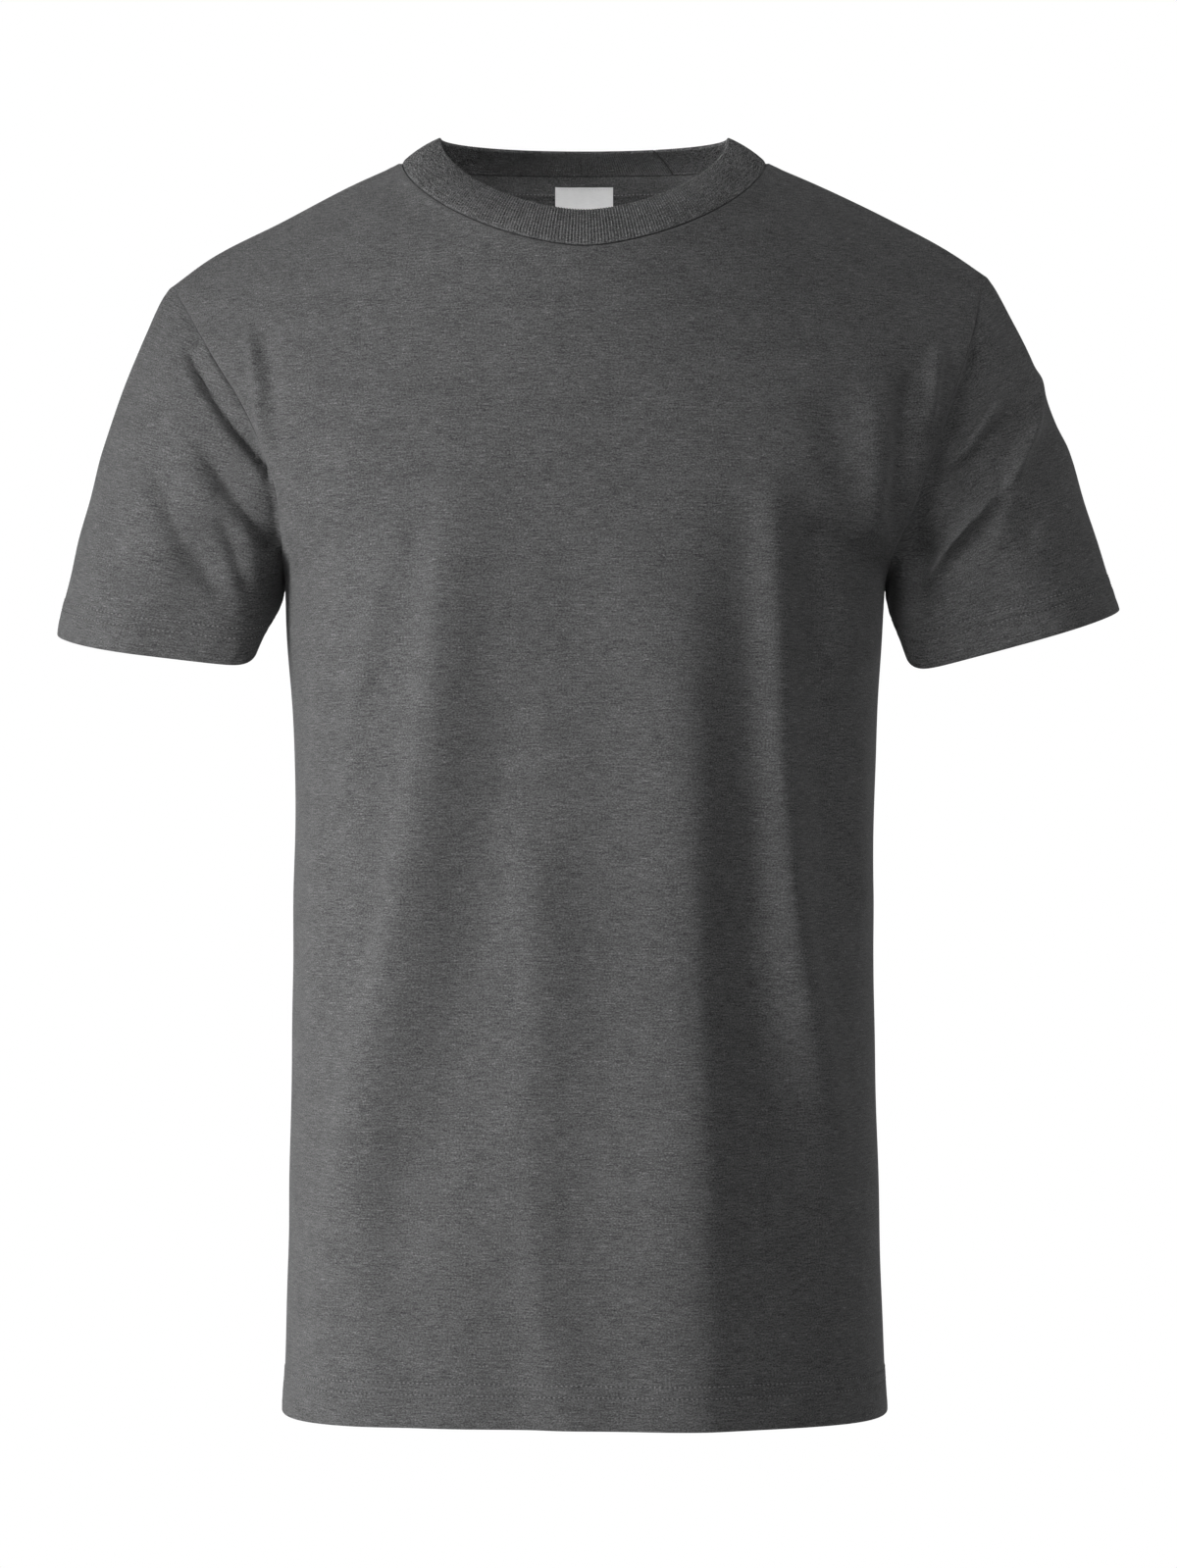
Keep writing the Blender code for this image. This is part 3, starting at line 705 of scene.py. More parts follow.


# ---- Folds of each piece ----

FRONT_FOLDS = (
    # Wearer's right: a long drape that leans outwards on its way down, and the hollow beside it.
    Fold(((-66, -150), (-72, -205), (-80.5, -295), (-92, -378), (-104, -440.5), (-119, -503),
          (-132, -565), (-145, -627)), 6, 10.5, 1.8, (0.24, 0.3)),
    Fold(((-40, -235), (-42, -316), (-50, -378), (-59, -440.5), (-70, -503), (-86, -565), (-96, -627),
          (-95, -712)), -3.4, 19, 1, (0.25, 0.25), 0.6),
    Fold(((-95, -195), (-103, -234), (-118, -284), (-125, -373)), 2.6, 8, 1.3),
    Fold(((-97, -215), (-110, -290), (-122, -345)), -1.2, 6),
    Fold(((-146, -350), (-143, -420), (-147, -500)), 1.8, 9),
    Fold(((-151, -560), (-154, -620), (-152, -690)), -2, 9, 1, (0.3, 0.2)),
    Fold(((-92, -500), (-101, -560), (-108, -640)), -2.2, 13, 1, (0.35, 0.35)),
    # Middle: a broad low swell with a crisp side towards the wearer's right.
    Fold(((-30, -345), (-26, -400), (-24, -450), (-26, -520), (-24, -600), (-8, -712)), 3.2, 12, 1.7,
          (0.2, 0.25), 0.7),
    Fold(((-36, -470), (-40, -540), (-45, -600)), 1, 7),
    Fold(((-35, -60), (-13, -67), (6, -65)), 1, 8),
    # Wearer's left: the broadest swell, whose far side falls into the deepest hollow, and the
    # ridge that leans outwards on its way down, until the whole corner of the hem turns away.
    Fold(((46, -170), (49, -215), (52, -264), (54.5, -316), (55, -378), (56, -430), (58, -490)), 7.6,
          34, 0.8, (0.42, 0.45)),
    Fold(((54.5, -316), (56.5, -440.5), (59, -503), (61, -590), (62, -690)), 6.2, 32, 0.52,
          (0.45, 0.45), 0.35),
    Fold(((79, -190), (81.5, -254), (82.5, -316), (84, -378), (87, -440.5), (95, -500), (106, -555),
          (120, -615)), -5.4, 16, 0.95, (0.6, 0.3)),
    Fold(((56, -420), (54, -510), (52, -600), (51, -712)), 11, 70, 0.75, (0.5, 0.25), 1),
    Fold(((98.5, -165), (100.5, -215), (102.5, -285), (105, -347), (112, -420), (125, -490),
          (136, -545), (144, -600)), 6.6, 10.8, 0.9, (0.16, 0.35)),
    Fold(((118, -175), (126.5, -240), (129, -311), (133, -372), (142, -450)), -4, 10.5),
    Fold(((124, -212), (140, -250), (146, -285)), 2, 5),
    Fold(((150, -300), (151, -370), (152, -440)), 1.8, 7),
    # Pinches beside the armholes.
    Fold(((154, -120), (157.5, -160), (158, -195), (157, -225)), 2.4, 9, 0.8),
    Fold(((130, -130), (137, -170), (146, -215)), -2.2, 12),
    Fold(((-186.5, -88), (-179, -112), (-175, -138), (-171.5, -170), (-169, -195)), 3.4, 3.6, 1,
          (0.3, 0.35)),
    Fold(((-181, -92), (-173.5, -115), (-169, -133), (-167.5, -150), (-166, -175)), -1.6, 4.2, 1.6,
          (0.3, 0.45)),
    Fold(((194, -102), (189, -125), (186, -145), (181, -162)), 4.6, 4.2),
    Fold(((179, -112), (176.5, -140), (173.5, -165), (170, -190), (166, -215)), -5.6, 8, 0.8),
)
BACK_FOLDS = (
    Fold(((-110, -210), (-95, -400), (-105, -712)), -6.5, 20, 1, (0.22, 0.25), 0.55),
    Fold(((-70, -240), (-62, -420), (-78, -700)), 5.5, 20, 1, (0.22, 0.25), 0.4),
    Fold(((-15, -330), (-20, -480), (-30, -712)), -5, 22, 1, (0.25, 0.25), 0.5),
    Fold(((40, -250), (34, -430), (24, -700)), 6, 22, 1, (0.22, 0.25), 0.4),
    Fold(((86, -220), (78, -410), (90, -712)), -7, 19, 1, (0.22, 0.25), 0.55),
    Fold(((118, -240), (112, -420), (122, -640)), 4.5, 15),
    Fold(((-130, -170), (-100, -150), (-60, -160)), 2.5, 16),
    Fold(((130, -175), (98, -150), (62, -165)), 2.5, 16),
    Fold(((-134, -300), (-128, -400), (-132, -520)), 2.6, 11),
    Fold(((-148, -215), (-128, -262), (-120, -330)), -2.2, 10),
    Fold(((150, -215), (138, -262), (134, -340)), -2.4, 10),
    Fold(((8, -440), (4, -540), (-2, -640)), 2.2, 13),
    Fold(((-46, -520), (-52, -600), (-56, -690)), -1.8, 10),
    Fold(((56, -500), (58, -580), (54, -690)), -2, 11),
    Fold(((142, -420), (146, -520), (144, -620)), 2.2, 9),
    Fold(((-178, -110), (-170, -145), (-158, -185)), 2, 10),
    Fold(((182, -110), (172, -150), (160, -190)), 2, 10),
)
SLEEVE_FOLDS = {
    (Side.RIGHT, Face.FRONT): (
        Fold(((-222.5, -95), (-217.8, -110.5), (-209.8, -126.5), (-197.5, -145.5), (-184.2, -162.5),
              (-166, -185)), -6, 2.1, 3.4, (0.3, 0.05), 0, 1.25),
        Fold(((-205, -100), (-196, -122), (-182, -150)), 2.2, 6),
        Fold(((-214, -158), (-203, -173), (-193, -188), (-166, -220)), -4.4, 4.6, 1.8, (0.35, 0.06), 0,
              1.5),
        Fold(((-236, -162), (-231, -187), (-213, -222), (-188, -254)), -3.8, 6.6, 1.8, (0.25, 0.25), 0,
              1.6),
        Fold(((-201, -199), (-191, -215), (-186, -231), (-179, -250)), -2.4, 4.6, 1.3),
        Fold(((-228, -140), (-215, -172), (-200, -198)), 1.6, 8),
        Fold(((-257, -180), (-259, -210), (-257, -236)), -1.2, 8),
    ),
    (Side.RIGHT, Face.BACK): (
        Fold(((-228, -100), (-205, -150), (-176, -190)), -5.5, 8, 1.3),
        Fold(((-250, -170), (-226, -212), (-186, -240)), -5, 9, 1.3),
        Fold(((-212, -150), (-196, -186), (-172, -214)), 3, 7),
        Fold(((-262, -150), (-262, -190), (-254, -232)), 1.6, 10),
        Fold(((-232, -130), (-224, -160), (-206, -190)), -2.2, 6),
    ),
    (Side.LEFT, Face.FRONT): (
        # The cloth falls back behind the body's edge, then lifts into slanting ridges.
        Fold(((221.5, -95), (209.8, -125), (199, -155), (187.5, -187), (178, -218), (172.5, -240)), -8,
              5.5, 2.2, (0.2, 0.15), 0, 1.6),
        Fold(((231, -130), (217.5, -149.5), (204.5, -167), (192, -180)), 6.4, 4.8),
        Fold(((253.5, -112), (249.5, -134), (244, -155), (235, -175), (224, -196)), 6, 4.2, 1,
              (0.25, 0.35), 0, 1.6),
        Fold(((229, -183), (215, -198), (202, -212), (190, -229), (181, -244)), 6.6, 4, 1, (0.35, 0.2),
              0, 1.6),
        Fold(((230, -202), (215, -215), (202, -229), (192, -244)), -2.2, 5, 1.2, (0.3, 0.25)),
        Fold(((243, -165), (234, -188), (224, -210), (213, -230)), 1.8, 6),
        Fold(((196, -205), (186, -232), (180, -262)), -5, 11, 1.3, (0.3, 0.3)),
        Fold(((253, -176), (246, -200), (238, -225)), -1.4, 7),
        Fold(((261, -146), (266.5, -170), (268, -215)), 1.6, 7),
    ),
    (Side.LEFT, Face.BACK): (
        Fold(((228, -100), (206, -150), (176, -190)), -5.5, 8, 0.8),
        Fold(((246, -160), (226, -205), (188, -240)), -4.5, 9, 0.8),
        Fold(((214, -150), (198, -184), (174, -212)), 3, 7),
        Fold(((264, -150), (266, -190), (260, -228)), 1.4, 10),
        Fold(((236, -128), (228, -160), (212, -188)), -2, 6),
    ),
}


# ---- Pieces of cloth ----


@dataclass
class BodyPanel:
    """The front or the back: a shell from the hem to the shoulders and the neck."""

    face: Face  # which panel it is
    columns: int = 136  # even cells across
    side_cells: int = 122  # even cells up the side seam
    armhole_cells: int = 76  # cells round its half of each armhole
    shoulder_cells: int = 40  # even cells along each shoulder seam
    calm: float = 0.016  # distance from a seam over which the folds fade out
    surface: Array = field(init=False, repr=False)
    normals: Array = field(init=False, repr=False)

    def __post_init__(self) -> None:
        """Works out the surface before any seam relief."""
        self.surface = self.form()
        self.normals = grid_normals(self.surface, closed=False)

    @property
    def underarm(self) -> int:
        """Index of the row at the underarm."""
        return len(self.side_heights()) - 1

    @property
    def tip(self) -> int:
        """Index of the row at the shoulder tip."""
        return self.underarm + self.armhole_cells

    def column(self, side: Side) -> int:
        """Index of the column at a side's edge."""
        return 0 if (side is Side.RIGHT) == (self.face is Face.FRONT) else -1

    def side_heights(self) -> Array:
        """Heights of the rows of points on a side seam."""
        low, high = SIDE_SEAMS[0][0], SIDE_SEAMS[-1][0]
        return low + stations(high - low, self.side_cells, BODY_HEM.steps(), (0.0,))

    def shoulder_shares(self) -> Array:
        """Shares of the shoulder seam at which there are rows, after the tip."""
        length = distances(smooth_curve(SHOULDERS[Side.LEFT], FINE))[-1]
        return stations(length, self.shoulder_cells, (0.0,), SEAM_STEPS)[1:] / length

    def edge(self, side: Side) -> Array:
        """Points of an edge from the hem up the side, round the armhole and along the shoulder.

        Args:
            side: The wearer's side.

        Returns:
            One point for each row of the panel.
        """
        heights = self.side_heights()
        table = [[row[1] if side is Side.RIGHT else row[2]] for row in SIDE_SEAMS]
        across = smooth_table([row[0] for row in SIDE_SEAMS], table, heights)[:, 0]
        seam = np.stack([across, np.zeros(len(heights)), heights], axis=1)
        armhole = smooth_curve(ARMHOLES[side, self.face], self.armhole_cells)
        shoulder = smooth_curve(SHOULDERS[side], FINE)
        shoulder = along(shoulder, self.shoulder_shares() * distances(shoulder)[-1])
        return np.concatenate([seam, armhole[1:], shoulder])

    def levels(self) -> Array:
        """Level of each row: the whole part counts edge stretches, the rest is a share of one."""
        side = self.side_heights()
        armhole = 1 + np.arange(1, self.armhole_cells + 1) / self.armhole_cells
        return np.concatenate([(side - side[0]) / np.ptp(side), armhole, 2 + self.shoulder_shares()])

    def form(self) -> Array:
        """Outer points with their folds, rows from the hem up and columns in outward order."""
        keys = PANEL_ROWS[self.face]
        numbers = smooth_table([key.level for key in keys], [key.numbers() for key in keys], self.levels())
        rows = []
        for right, left, (y, z, square_right, square_left, drop, reach) in zip(
            self.edge(Side.RIGHT), self.edge(Side.LEFT), numbers
        ):
            curve = RowKey(0.0, y, z, (square_right, square_left), drop, reach).curve(right, left)
            rows.append(along(curve, stations(distances(curve)[-1], self.columns, SEAM_STEPS, SEAM_STEPS)))
        grid = np.stack(rows)
        if self.face is Face.BACK:
            grid = grid[:, ::-1]
        top = grid[-NECK_ROWS:]
        grid[-NECK_ROWS:] = top[0] + (run_up(top) / run_up(top)[-1:])[..., None] * (top[-1] - top[0])
        grid = self.relaxed(grid)
        raised = folded(grid, FRONT_FOLDS if self.face is Face.FRONT else BACK_FOLDS) + self.slack(grid)
        return grid + (raised * self.calmness(grid))[..., None] * grid_normals(grid, closed=False)

    def relaxed(self, grid: Array, reach: float = 0.060, rounds: int = 130) -> Array:
        """Eases the bend across the rows next to the underarm, and leaves the seams in place.

        Args:
            grid: Rows by columns of points.
            reach: Distance up and down from the underarm over which the cloth is eased.
            rounds: Number of small steps.

        Returns:
            The eased points.
        """
        up = run_up(grid)
        share = fade(np.abs(up - up[self.underarm]), reach) * ease(sideways(grid) / 0.010)
        share = 0.5 * share[1:-1, :, None]
        grid = grid.copy()
        for _ in range(rounds):
            grid[1:-1] += share * ((grid[:-2] + grid[2:]) / 2 - grid[1:-1])
        return grid

    def calmness(self, grid: Array) -> Array:
        """Share of a fold's height that each point takes: none at a seam, all at the hem."""
        return ease(sideways(grid) / self.calm) * ease(run_down(grid) / self.calm)

    def slack(self, grid: Array) -> Array:
        """Slight unevenness of soft cloth, below a millimetre.

        Args:
            grid: Rows by columns of points.

        Returns:
            Height at each point.
        """
        phase = 0.0 if self.face is Face.FRONT else 2.1
        x, z = grid[..., 0], grid[..., 2]
        broad = waves(x + 0.35 * z, (0.083, 0.127, 0.061), 0.9 + phase)
        tall = waves(z - 0.20 * x, (0.117, 0.181, 0.074), 2.3 + phase)
        return 0.0007 * broad * (0.6 + 0.4 * tall) + 0.0004 * tall

    def share_normals(self, other: "BodyPanel") -> None:
        """Gives both panels one normal along the side and shoulder seams."""
        for side in Side:
            mine, theirs = self.column(side), other.column(side)
            for rows in (slice(0, self.underarm + 1), slice(self.tip, None)):
                shared = unit(self.normals[rows, mine] + other.normals[rows, theirs])
                self.normals[rows, mine] = other.normals[rows, theirs] = shared

    def settle_normals(self) -> None:
        """Lets each row's normals turn gradually to those that its edges share."""
        for edge, away in from_sides(self.surface):
            share = fade(away, NORMAL_REACH)[..., None]
            self.normals = unit(blend(share, self.normals, self.normals[:, edge][:, None]))

    def relief(self) -> Array:
        """Height of seams and hem on the outer face."""
        grid = self.surface
        across, up = run_across(grid), run_up(grid)
        total = NECK_BODY.relief(run_down(grid), across - 0.5 * across[:, -1:])
        seams = (
            (slice(0, self.underarm), SIDE_SEAM_RELIEF),
            (slice(self.underarm, self.tip), ARMHOLE_BODY),
            (slice(self.tip, None), SHOULDER_RELIEF),
        )
        for edge, away in from_sides(grid):
            place = np.repeat(up[:, edge][:, None], grid.shape[1], axis=1)
            for rows, seam in seams:
                share = groove_share(np.abs(place - place[self.tip])[rows]) if seam is ARMHOLE_BODY else 1.0
                total[rows] += seam.relief(away[rows], place[rows], share)
        return total + BODY_HEM.relief(up, across)

    def setback(self) -> Array:
        """Moves that take each edge half a seam's gap back from its neighbour."""
        grid, moves = self.surface, np.zeros_like(self.surface)
        for edge, beside in ((0, 1), (-1, -2)):
            moves[:, edge] = SEAM_GAP / 2 * unit(grid[:, beside] - grid[:, edge])
        near = np.clip(1 - run_down(grid) / NECK_SETBACK, 0.0, 1.0)[..., None]
        gap = NECK_GAP if self.face is Face.FRONT else SEAM_GAP
        return moves + gap / 2 * near * unit(grid[-NECK_ROWS] - grid[-1])

    def faces(self) -> tuple[Array, Array]:
        """Points of the outer and of the inner face."""
        up, setback = run_up(self.surface), self.setback()
        placed = self.surface + setback + self.relief()[..., None] * self.normals
        rounding = fold_round(up, HEM_THICK)
        outer = placed - rounding[..., None] * self.normals
        inner = placed - setback - (BODY_HEM.thickness(up) - rounding)[..., None] * self.normals
        return outer, inner

    def shade(self) -> Array:
        """Painted shadow beside the armhole seams, which darkens the colour there."""
        up = run_up(self.surface)
        total = np.zeros_like(up)
        rows = slice(self.underarm, self.tip)
        for edge, away in from_sides(self.surface):
            share = groove_share(np.abs(up[rows, edge] - up[self.tip, edge]))
            total[rows] += ARMHOLE_SHADE * share[:, None] * bell(away[rows], SEAM_SHADOW)
        return total

    def build(self) -> bpy.types.Object:
        """Makes the panel."""
        return Shell(self.face.value + "_cloth", *self.faces(), unfold(self.surface), self.shade()).build()


@dataclass(frozen=True)
class Lead:
    """A direction in which a sleeve leaves its seam or enters its cuff, with its pull."""

    out: float  # share of it that points away from the body
    down: float  # share that points down
    pull: float  # strength in metres

    def vector(self, side: Side) -> Array:
        """The lead on one side of the body."""
        return np.array([side.value * self.out, 0.0, -self.down]) * self.pull


@dataclass
class Sleeve:
    """A set-in short sleeve: a tube from the armhole to a turned cuff."""

    side: Side  # the wearer's side
    front: BodyPanel
    back: BodyPanel
    centre: Pair  # middle of the cuff as x and z
    half: Pair  # half-sizes of the cuff's ring
    tilt: Pair  # rise of the ring for each metre along X and Y
    draw_up: float  # how far the underarm side of the cuff is drawn up
    leads: tuple[Lead, Lead, Lead, Lead]  # at the tip, underarm, outer cuff and inner cuff
    cells: int = 290  # even cells round the sleeve
    rows: int = 92  # even cells down the sleeve
    front_share: float = 0.64  # share of the cells that is on the front half
    square: float = 5.5  # corner exponent of the cuff's ring at its inner end
    shear: float = 0.16  # how far the ring's front leads its back there, for each metre of depth
    hug: Lead = Lead(0.06, 1.0, 0.048)  # lead right at the underarm, where the cloth first hangs
    tuck: float = 0.060  # pull with which the lower sleeve goes in behind the panels' edges
    calm: float = 0.003  # distance from the armhole over which the folds fade out
    seam_steps: tuple[float, ...] = (0.0, 0.0006, 0.0013, 0.0024, 0.0040)  # mesh by its seam

    def edges(self, values: str) -> Array:
        """Points or normals of both panels round the armhole, up the front and down the back.

        Args:
            values: What is wanted, surface or normals.

        Returns:
            One vector for each row of the armhole, all the way round.
        """
        rows = slice(self.front.underarm, self.front.tip + 1)
        front = getattr(self.front, values)[rows, self.front.column(self.side)]
        back = getattr(self.back, values)[rows, self.back.column(self.side)]
        return np.concatenate([front, back[::-1]])

    def form(self) -> Array:
        """Outer points with their folds, rows from the armhole down and columns round the loop."""
        line = self.edges("surface")
        run = distances(line)
        middle = self.tip_place = run[self.front.armhole_cells]
        even = stations(run[-1], self.cells, self.seam_steps, self.seam_steps)[:-1]
        self.places = np.interp(even / run[-1], (0.0, self.front_share, 1.0), (0.0, middle, run[-1]))
        angle = 2 * np.pi * np.interp(self.places, (0.0, middle, run[-1]), (0.0, 0.5, 1.0))
        turn, ahead = np.cos(angle), np.sin(angle)
        inner = np.clip(turn, 0.0, 1.0)
        out = self.side.value
        power = np.where(turn > 0, 2 / self.square, 1.0)
        x = -out * self.half[0] * np.sign(turn) * np.abs(turn) ** power
        y = -self.half[1] * np.sign(ahead) * np.abs(ahead) ** power
        x += out * self.shear * y * inner
        z = self.centre[1] + self.tilt[0] * x + self.tilt[1] * y + self.draw_up * inner**6
        ends = np.stack([self.centre[0] + x, y, z], axis=1)
        outer = ((1 - turn) / 2)[:, None]
        tip, underarm, cuff_outer, cuff_inner = (lead.vector(self.side) for lead in self.leads)
        leave = blend(outer, underarm, tip) + inner[:, None] ** 4 * (self.hug.vector(self.side) - underarm)
        leave[:, 1] += self.tuck * (1 - outer[:, 0]) ** 2 * ahead
        enter = blend(outer, cuff_inner, cuff_outer)
        t = np.linspace(0.0, 1.0, FINE)[:, None]
        columns = []
        for knots in zip(along(line, self.places), ends, leave, enter):
            curve = cubic(t, *knots)
            places = stations(distances(curve)[-1], self.rows, SEAM_STEPS, CUFF_HEM.steps())
            columns.append(along(curve, places))
        grid = self.rounded(np.stack(columns, axis=1))
        normals = self.outward(grid)
        raised = self.slack(grid)
        for face, facing in ((Face.FRONT, -normals[..., 1]), (Face.BACK, normals[..., 1])):
            raised += folded(grid, SLEEVE_FOLDS[self.side, face]) * ease(0.4 + 1.6 * facing)
        raised *= ease(np.linalg.norm(grid - grid[:1], axis=2) / self.calm)
        return grid + raised[..., None] * normals

    def rounded(self, grid: Array, reach: float = 0.018, rounds: int = 40) -> Array:
        """Rounds the ridge that runs down the sleeve from the shoulder tip.

        Args:
            grid: Rows by columns of points.
            reach: Distance to each side of the ridge over which it is rounded.
            rounds: Number of small steps.

        Returns:
            The rounded points.
        """
        near = fade(np.abs(self.places - self.tip_place), reach)
        share = 0.5 * (near * ease(run_up(grid) / 0.030))[..., None]
        for _ in range(rounds):
            grid = grid + share * ((np.roll(grid, 1, axis=1) + np.roll(grid, -1, axis=1)) / 2 - grid)
        return grid

    def slack(self, grid: Array) -> Array:
        """Slight unevenness of soft cloth, below a millimetre."""
        slant = grid[..., 2] + 0.6 * self.side.value * grid[..., 0]
        return 0.0006 * waves(slant, (0.047, 0.071, 0.036), 1.3 + self.side.value)

    def outward(self, grid: Array) -> Array:
        """Normals of the sleeve that point out."""
        return grid_normals(grid, closed=True) * -self.side.value

    def share_normals(self) -> None:
        """Gives the sleeve and both panels one normal round the armhole."""
        self.surface = self.form()
        self.normals = self.outward(self.surface)
        run = distances(self.edges("surface"))
        shared = unit(unit(sampled(self.places, run, self.edges("normals"))) + self.normals[0])
        down = np.linalg.norm(self.surface - self.surface[:1], axis=2)
        self.normals = unit(blend(fade(down, NORMAL_REACH)[..., None], self.normals, shared))
        places = np.concatenate([self.places, run[-1:]])
        back = unit(sampled(run, places, np.concatenate([shared, shared[:1]])))
        cells = self.front.armhole_cells + 1
        rows = slice(self.front.underarm, self.front.tip + 1)
        self.front.normals[rows, self.front.column(self.side)] = back[:cells]
        self.back.normals[rows, self.back.column(self.side)] = back[cells:][::-1]

    def groove(self) -> Array:
        """Share of the armhole groove's depth at each column."""
        return groove_share(np.abs(self.places - self.tip_place))

    def faces(self) -> tuple[Array, Array]:
        """Points of the outer and of the inner face."""
        down, up = run_up(self.surface), run_down(self.surface)
        place = np.repeat(self.places[None], len(down), axis=0)
        length = place.max() + self.seam_steps[1]
        relief = ARMHOLE_SLEEVE.relief(down, place, self.groove()) + CUFF_HEM.relief(up, place * 0.8)
        relief += UNDERARM_RELIEF.relief(np.minimum(place, length - place), down)
        placed = self.surface + relief[..., None] * self.normals
        rounding = fold_round(up, HEM_THICK)
        outer = placed - rounding[..., None] * self.normals
        outer[0] += SEAM_GAP / 2 * unit(self.surface[1] - self.surface[0])
        inner = placed - (CUFF_HEM.thickness(up) - rounding)[..., None] * self.normals
        return outer, inner

    def build(self) -> bpy.types.Object:
        """Makes the sleeve, whose courses follow the hem."""
        closed = looped(self.surface)
        across = np.repeat(run_across(closed)[-1:], len(closed), axis=0)
        chart = np.stack([across, run_down(closed)], axis=-1)
        # painted shadow beside the armhole seam, which darkens the colour
        shade = ARMHOLE_SHADE * self.groove() * bell(run_up(self.surface), SEAM_SHADOW)
        return Shell(f"sleeve_{self.side.word}_cloth", *self.faces(), chart, shade, closed=True).build()


@dataclass
class Collar:
    """The rib neck band, folded double, with ribs on both faces and a round top."""

    front: BodyPanel
    back: BodyPanel
    ribs: int = 186  # number of ribs on each half
    per_rib: int = 4  # columns for each rib
    rib_height: float = 0.00052  # height of a rib above the furrow beside it
    furrow_shade: float = 0.34  # strength of the shade painted into the furrows between ribs
    bow: float = 0.0012  # how far the middle of the band stands out
    cells: int = 9  # even cells up the band
    join_share: float = 0.311  # where on the back half the ends of the band are joined

    def around(self, lines: Sequence[Array], values: Sequence[Array]) -> Array:
        """Spreads vectors over the columns, all the way round.

        Args:
            lines: The edge of the front half and of the back half.
            values: The vectors at the points of each.

        Returns:
            One vector for each column.
        """
        shares = np.arange(self.ribs * self.per_rib) / (self.ribs * self.per_rib)
        runs = [distances(line) for line in lines]
        return np.concatenate([sampled(shares * run[-1], run, value) for run, value in zip(runs, values)])

    def form(self) -> tuple[Array, Array]:
        """Rows of points from the base to the top, and normals that start flush with the panels."""
        panels = (self.front, self.back)
        low = [panel.surface[-1] for panel in panels]
        ends = (COLLAR_SIDE * (-1, 1, 1), COLLAR_SIDE)
        high = [COLLAR_TOP[Face.FRONT].curve(*ends), COLLAR_TOP[Face.BACK].curve(*ends)[::-1]]
        base, top = self.around(low, low), self.around(high, high)
        self.height = np.linalg.norm(top - base, axis=1).mean()
        near_top = [RIB_THICK / 2 * share for share in (0.0, 0.05, 0.17, 0.4, 0.75, 1.2)]
        self.shares = stations(self.height, self.cells, SEAM_STEPS[:5], near_top) / self.height
        shares = self.shares[:, None, None]
        grid = base + (top - base) * shares
        grid = grid + 4 * self.bow * shares * (1 - shares) * grid_normals(grid, closed=True)
        flush = unit(self.around(low, [panel.normals[-1] for panel in panels]))
        return grid, unit(blend(fade(shares * self.height, 0.006), grid_normals(grid, closed=True), flush))

    def faces(self) -> tuple[Array, Array]:
        """Points of the outer and of the inner face, with their ribs."""
        grid, normals = self.form()
        rise = (self.shares * self.height)[:, None]
        column = np.arange(grid.shape[1])
        wave = np.cos(2 * np.pi * column / self.per_rib)
        join = (len(column) // 2 * (1 + self.join_share) - column) / self.per_rib
        rib = 0.5 * self.rib_height * wave * ease(rise / 0.0025)
        seam = -0.0004 * bell(rise, 0.0008)
        pinch = -0.0007 * bell(join, 0.45) * ease(rise / 0.002)
        # Painted shade: the neck seam, the furrows between ribs and the join of the ends are darkened in
        # colour.
        furrow_shade = self.furrow_shade * (0.5 - 0.5 * wave) * ease(rise / 0.002)
        join_shade = 0.9 * bell(join, 0.40) * ease(rise / 0.001)
        self.shade = np.clip(bell(rise, SEAM_SHADOW) + furrow_shade + join_shade, 0.0, 1.0)
        rounding = fold_round(self.height - rise, RIB_THICK)
        outer = grid + (rib + seam + pinch - rounding)[..., None] * normals
        inner = grid + (seam - rib - pinch - RIB_THICK + rounding)[..., None] * normals
        gap = np.repeat([[NECK_GAP], [SEAM_GAP]], len(column) // 2, axis=0)
        outer[0] += gap / 2 * unit(grid[1] - grid[0])
        return outer, inner

    def build(self) -> bpy.types.Object:
        """Makes the collar."""
        outer, inner = self.faces()
        closed = looped(outer)
        middle = len(closed) // 2
        across = np.repeat(run_across(closed)[middle : middle + 1], len(closed), axis=0)
        up = np.repeat((self.shares * self.height)[:, None], closed.shape[1], axis=1)
        chart = np.stack([across, up], axis=-1)
        # both faces of the collar show the whole painted shade
        return Shell("collar_cloth", outer, inner, chart, self.shade, closed=True, lining=1.0).build()


@dataclass
class NeckTape:
    """The strip of jersey that covers the collar seam inside the back."""

    back: BodyPanel
    depth: float = 0.0122  # width of the strip
    thick: float = 0.0008  # thickness of the strip
    start: float = 0.0002  # distance of its upper edge from the collar seam
    clear: float = 0.0002  # gap between it and the back
    ends: int = 3  # columns of the back that it leaves free at each shoulder

    def lines(self, places: Array, lift: float) -> Array:
        """Rows of points on the inside of the back.

        Args:
            places: Distances down from the collar seam.
            lift: Height above the inner face of the back.

        Returns:
            Rows by columns of points.
        """
        inside = (slice(None, None, -1), slice(self.ends, -self.ends))
        down, lean = self.back.faces()[1][inside], self.back.normals[inside]
        found = []
        for points, normals in zip(down.swapaxes(0, 1), lean.swapaxes(0, 1)):
            out = unit(sampled(places, distances(points), normals))
            found.append(along(points, places) - lift * out)
        return np.stack(found, axis=1)

    def build(self) -> bpy.types.Object:
        """Makes the tape."""
        near = [self.thick / 2 * share for share in (0.0, 0.2, 0.6, 1.2)]
        places = self.start + stations(self.depth, 9, near, near)
        away = np.minimum(places - self.start, self.start + self.depth - places)
        under, over = self.lines(places, self.clear), self.lines(places, self.clear + self.thick)
        rounding = fold_round(away, self.thick)[:, None, None] * unit(over - under)
        under = under + rounding
        return Shell("neck_tape_cloth", under, over - rounding, unfold(under)).build()


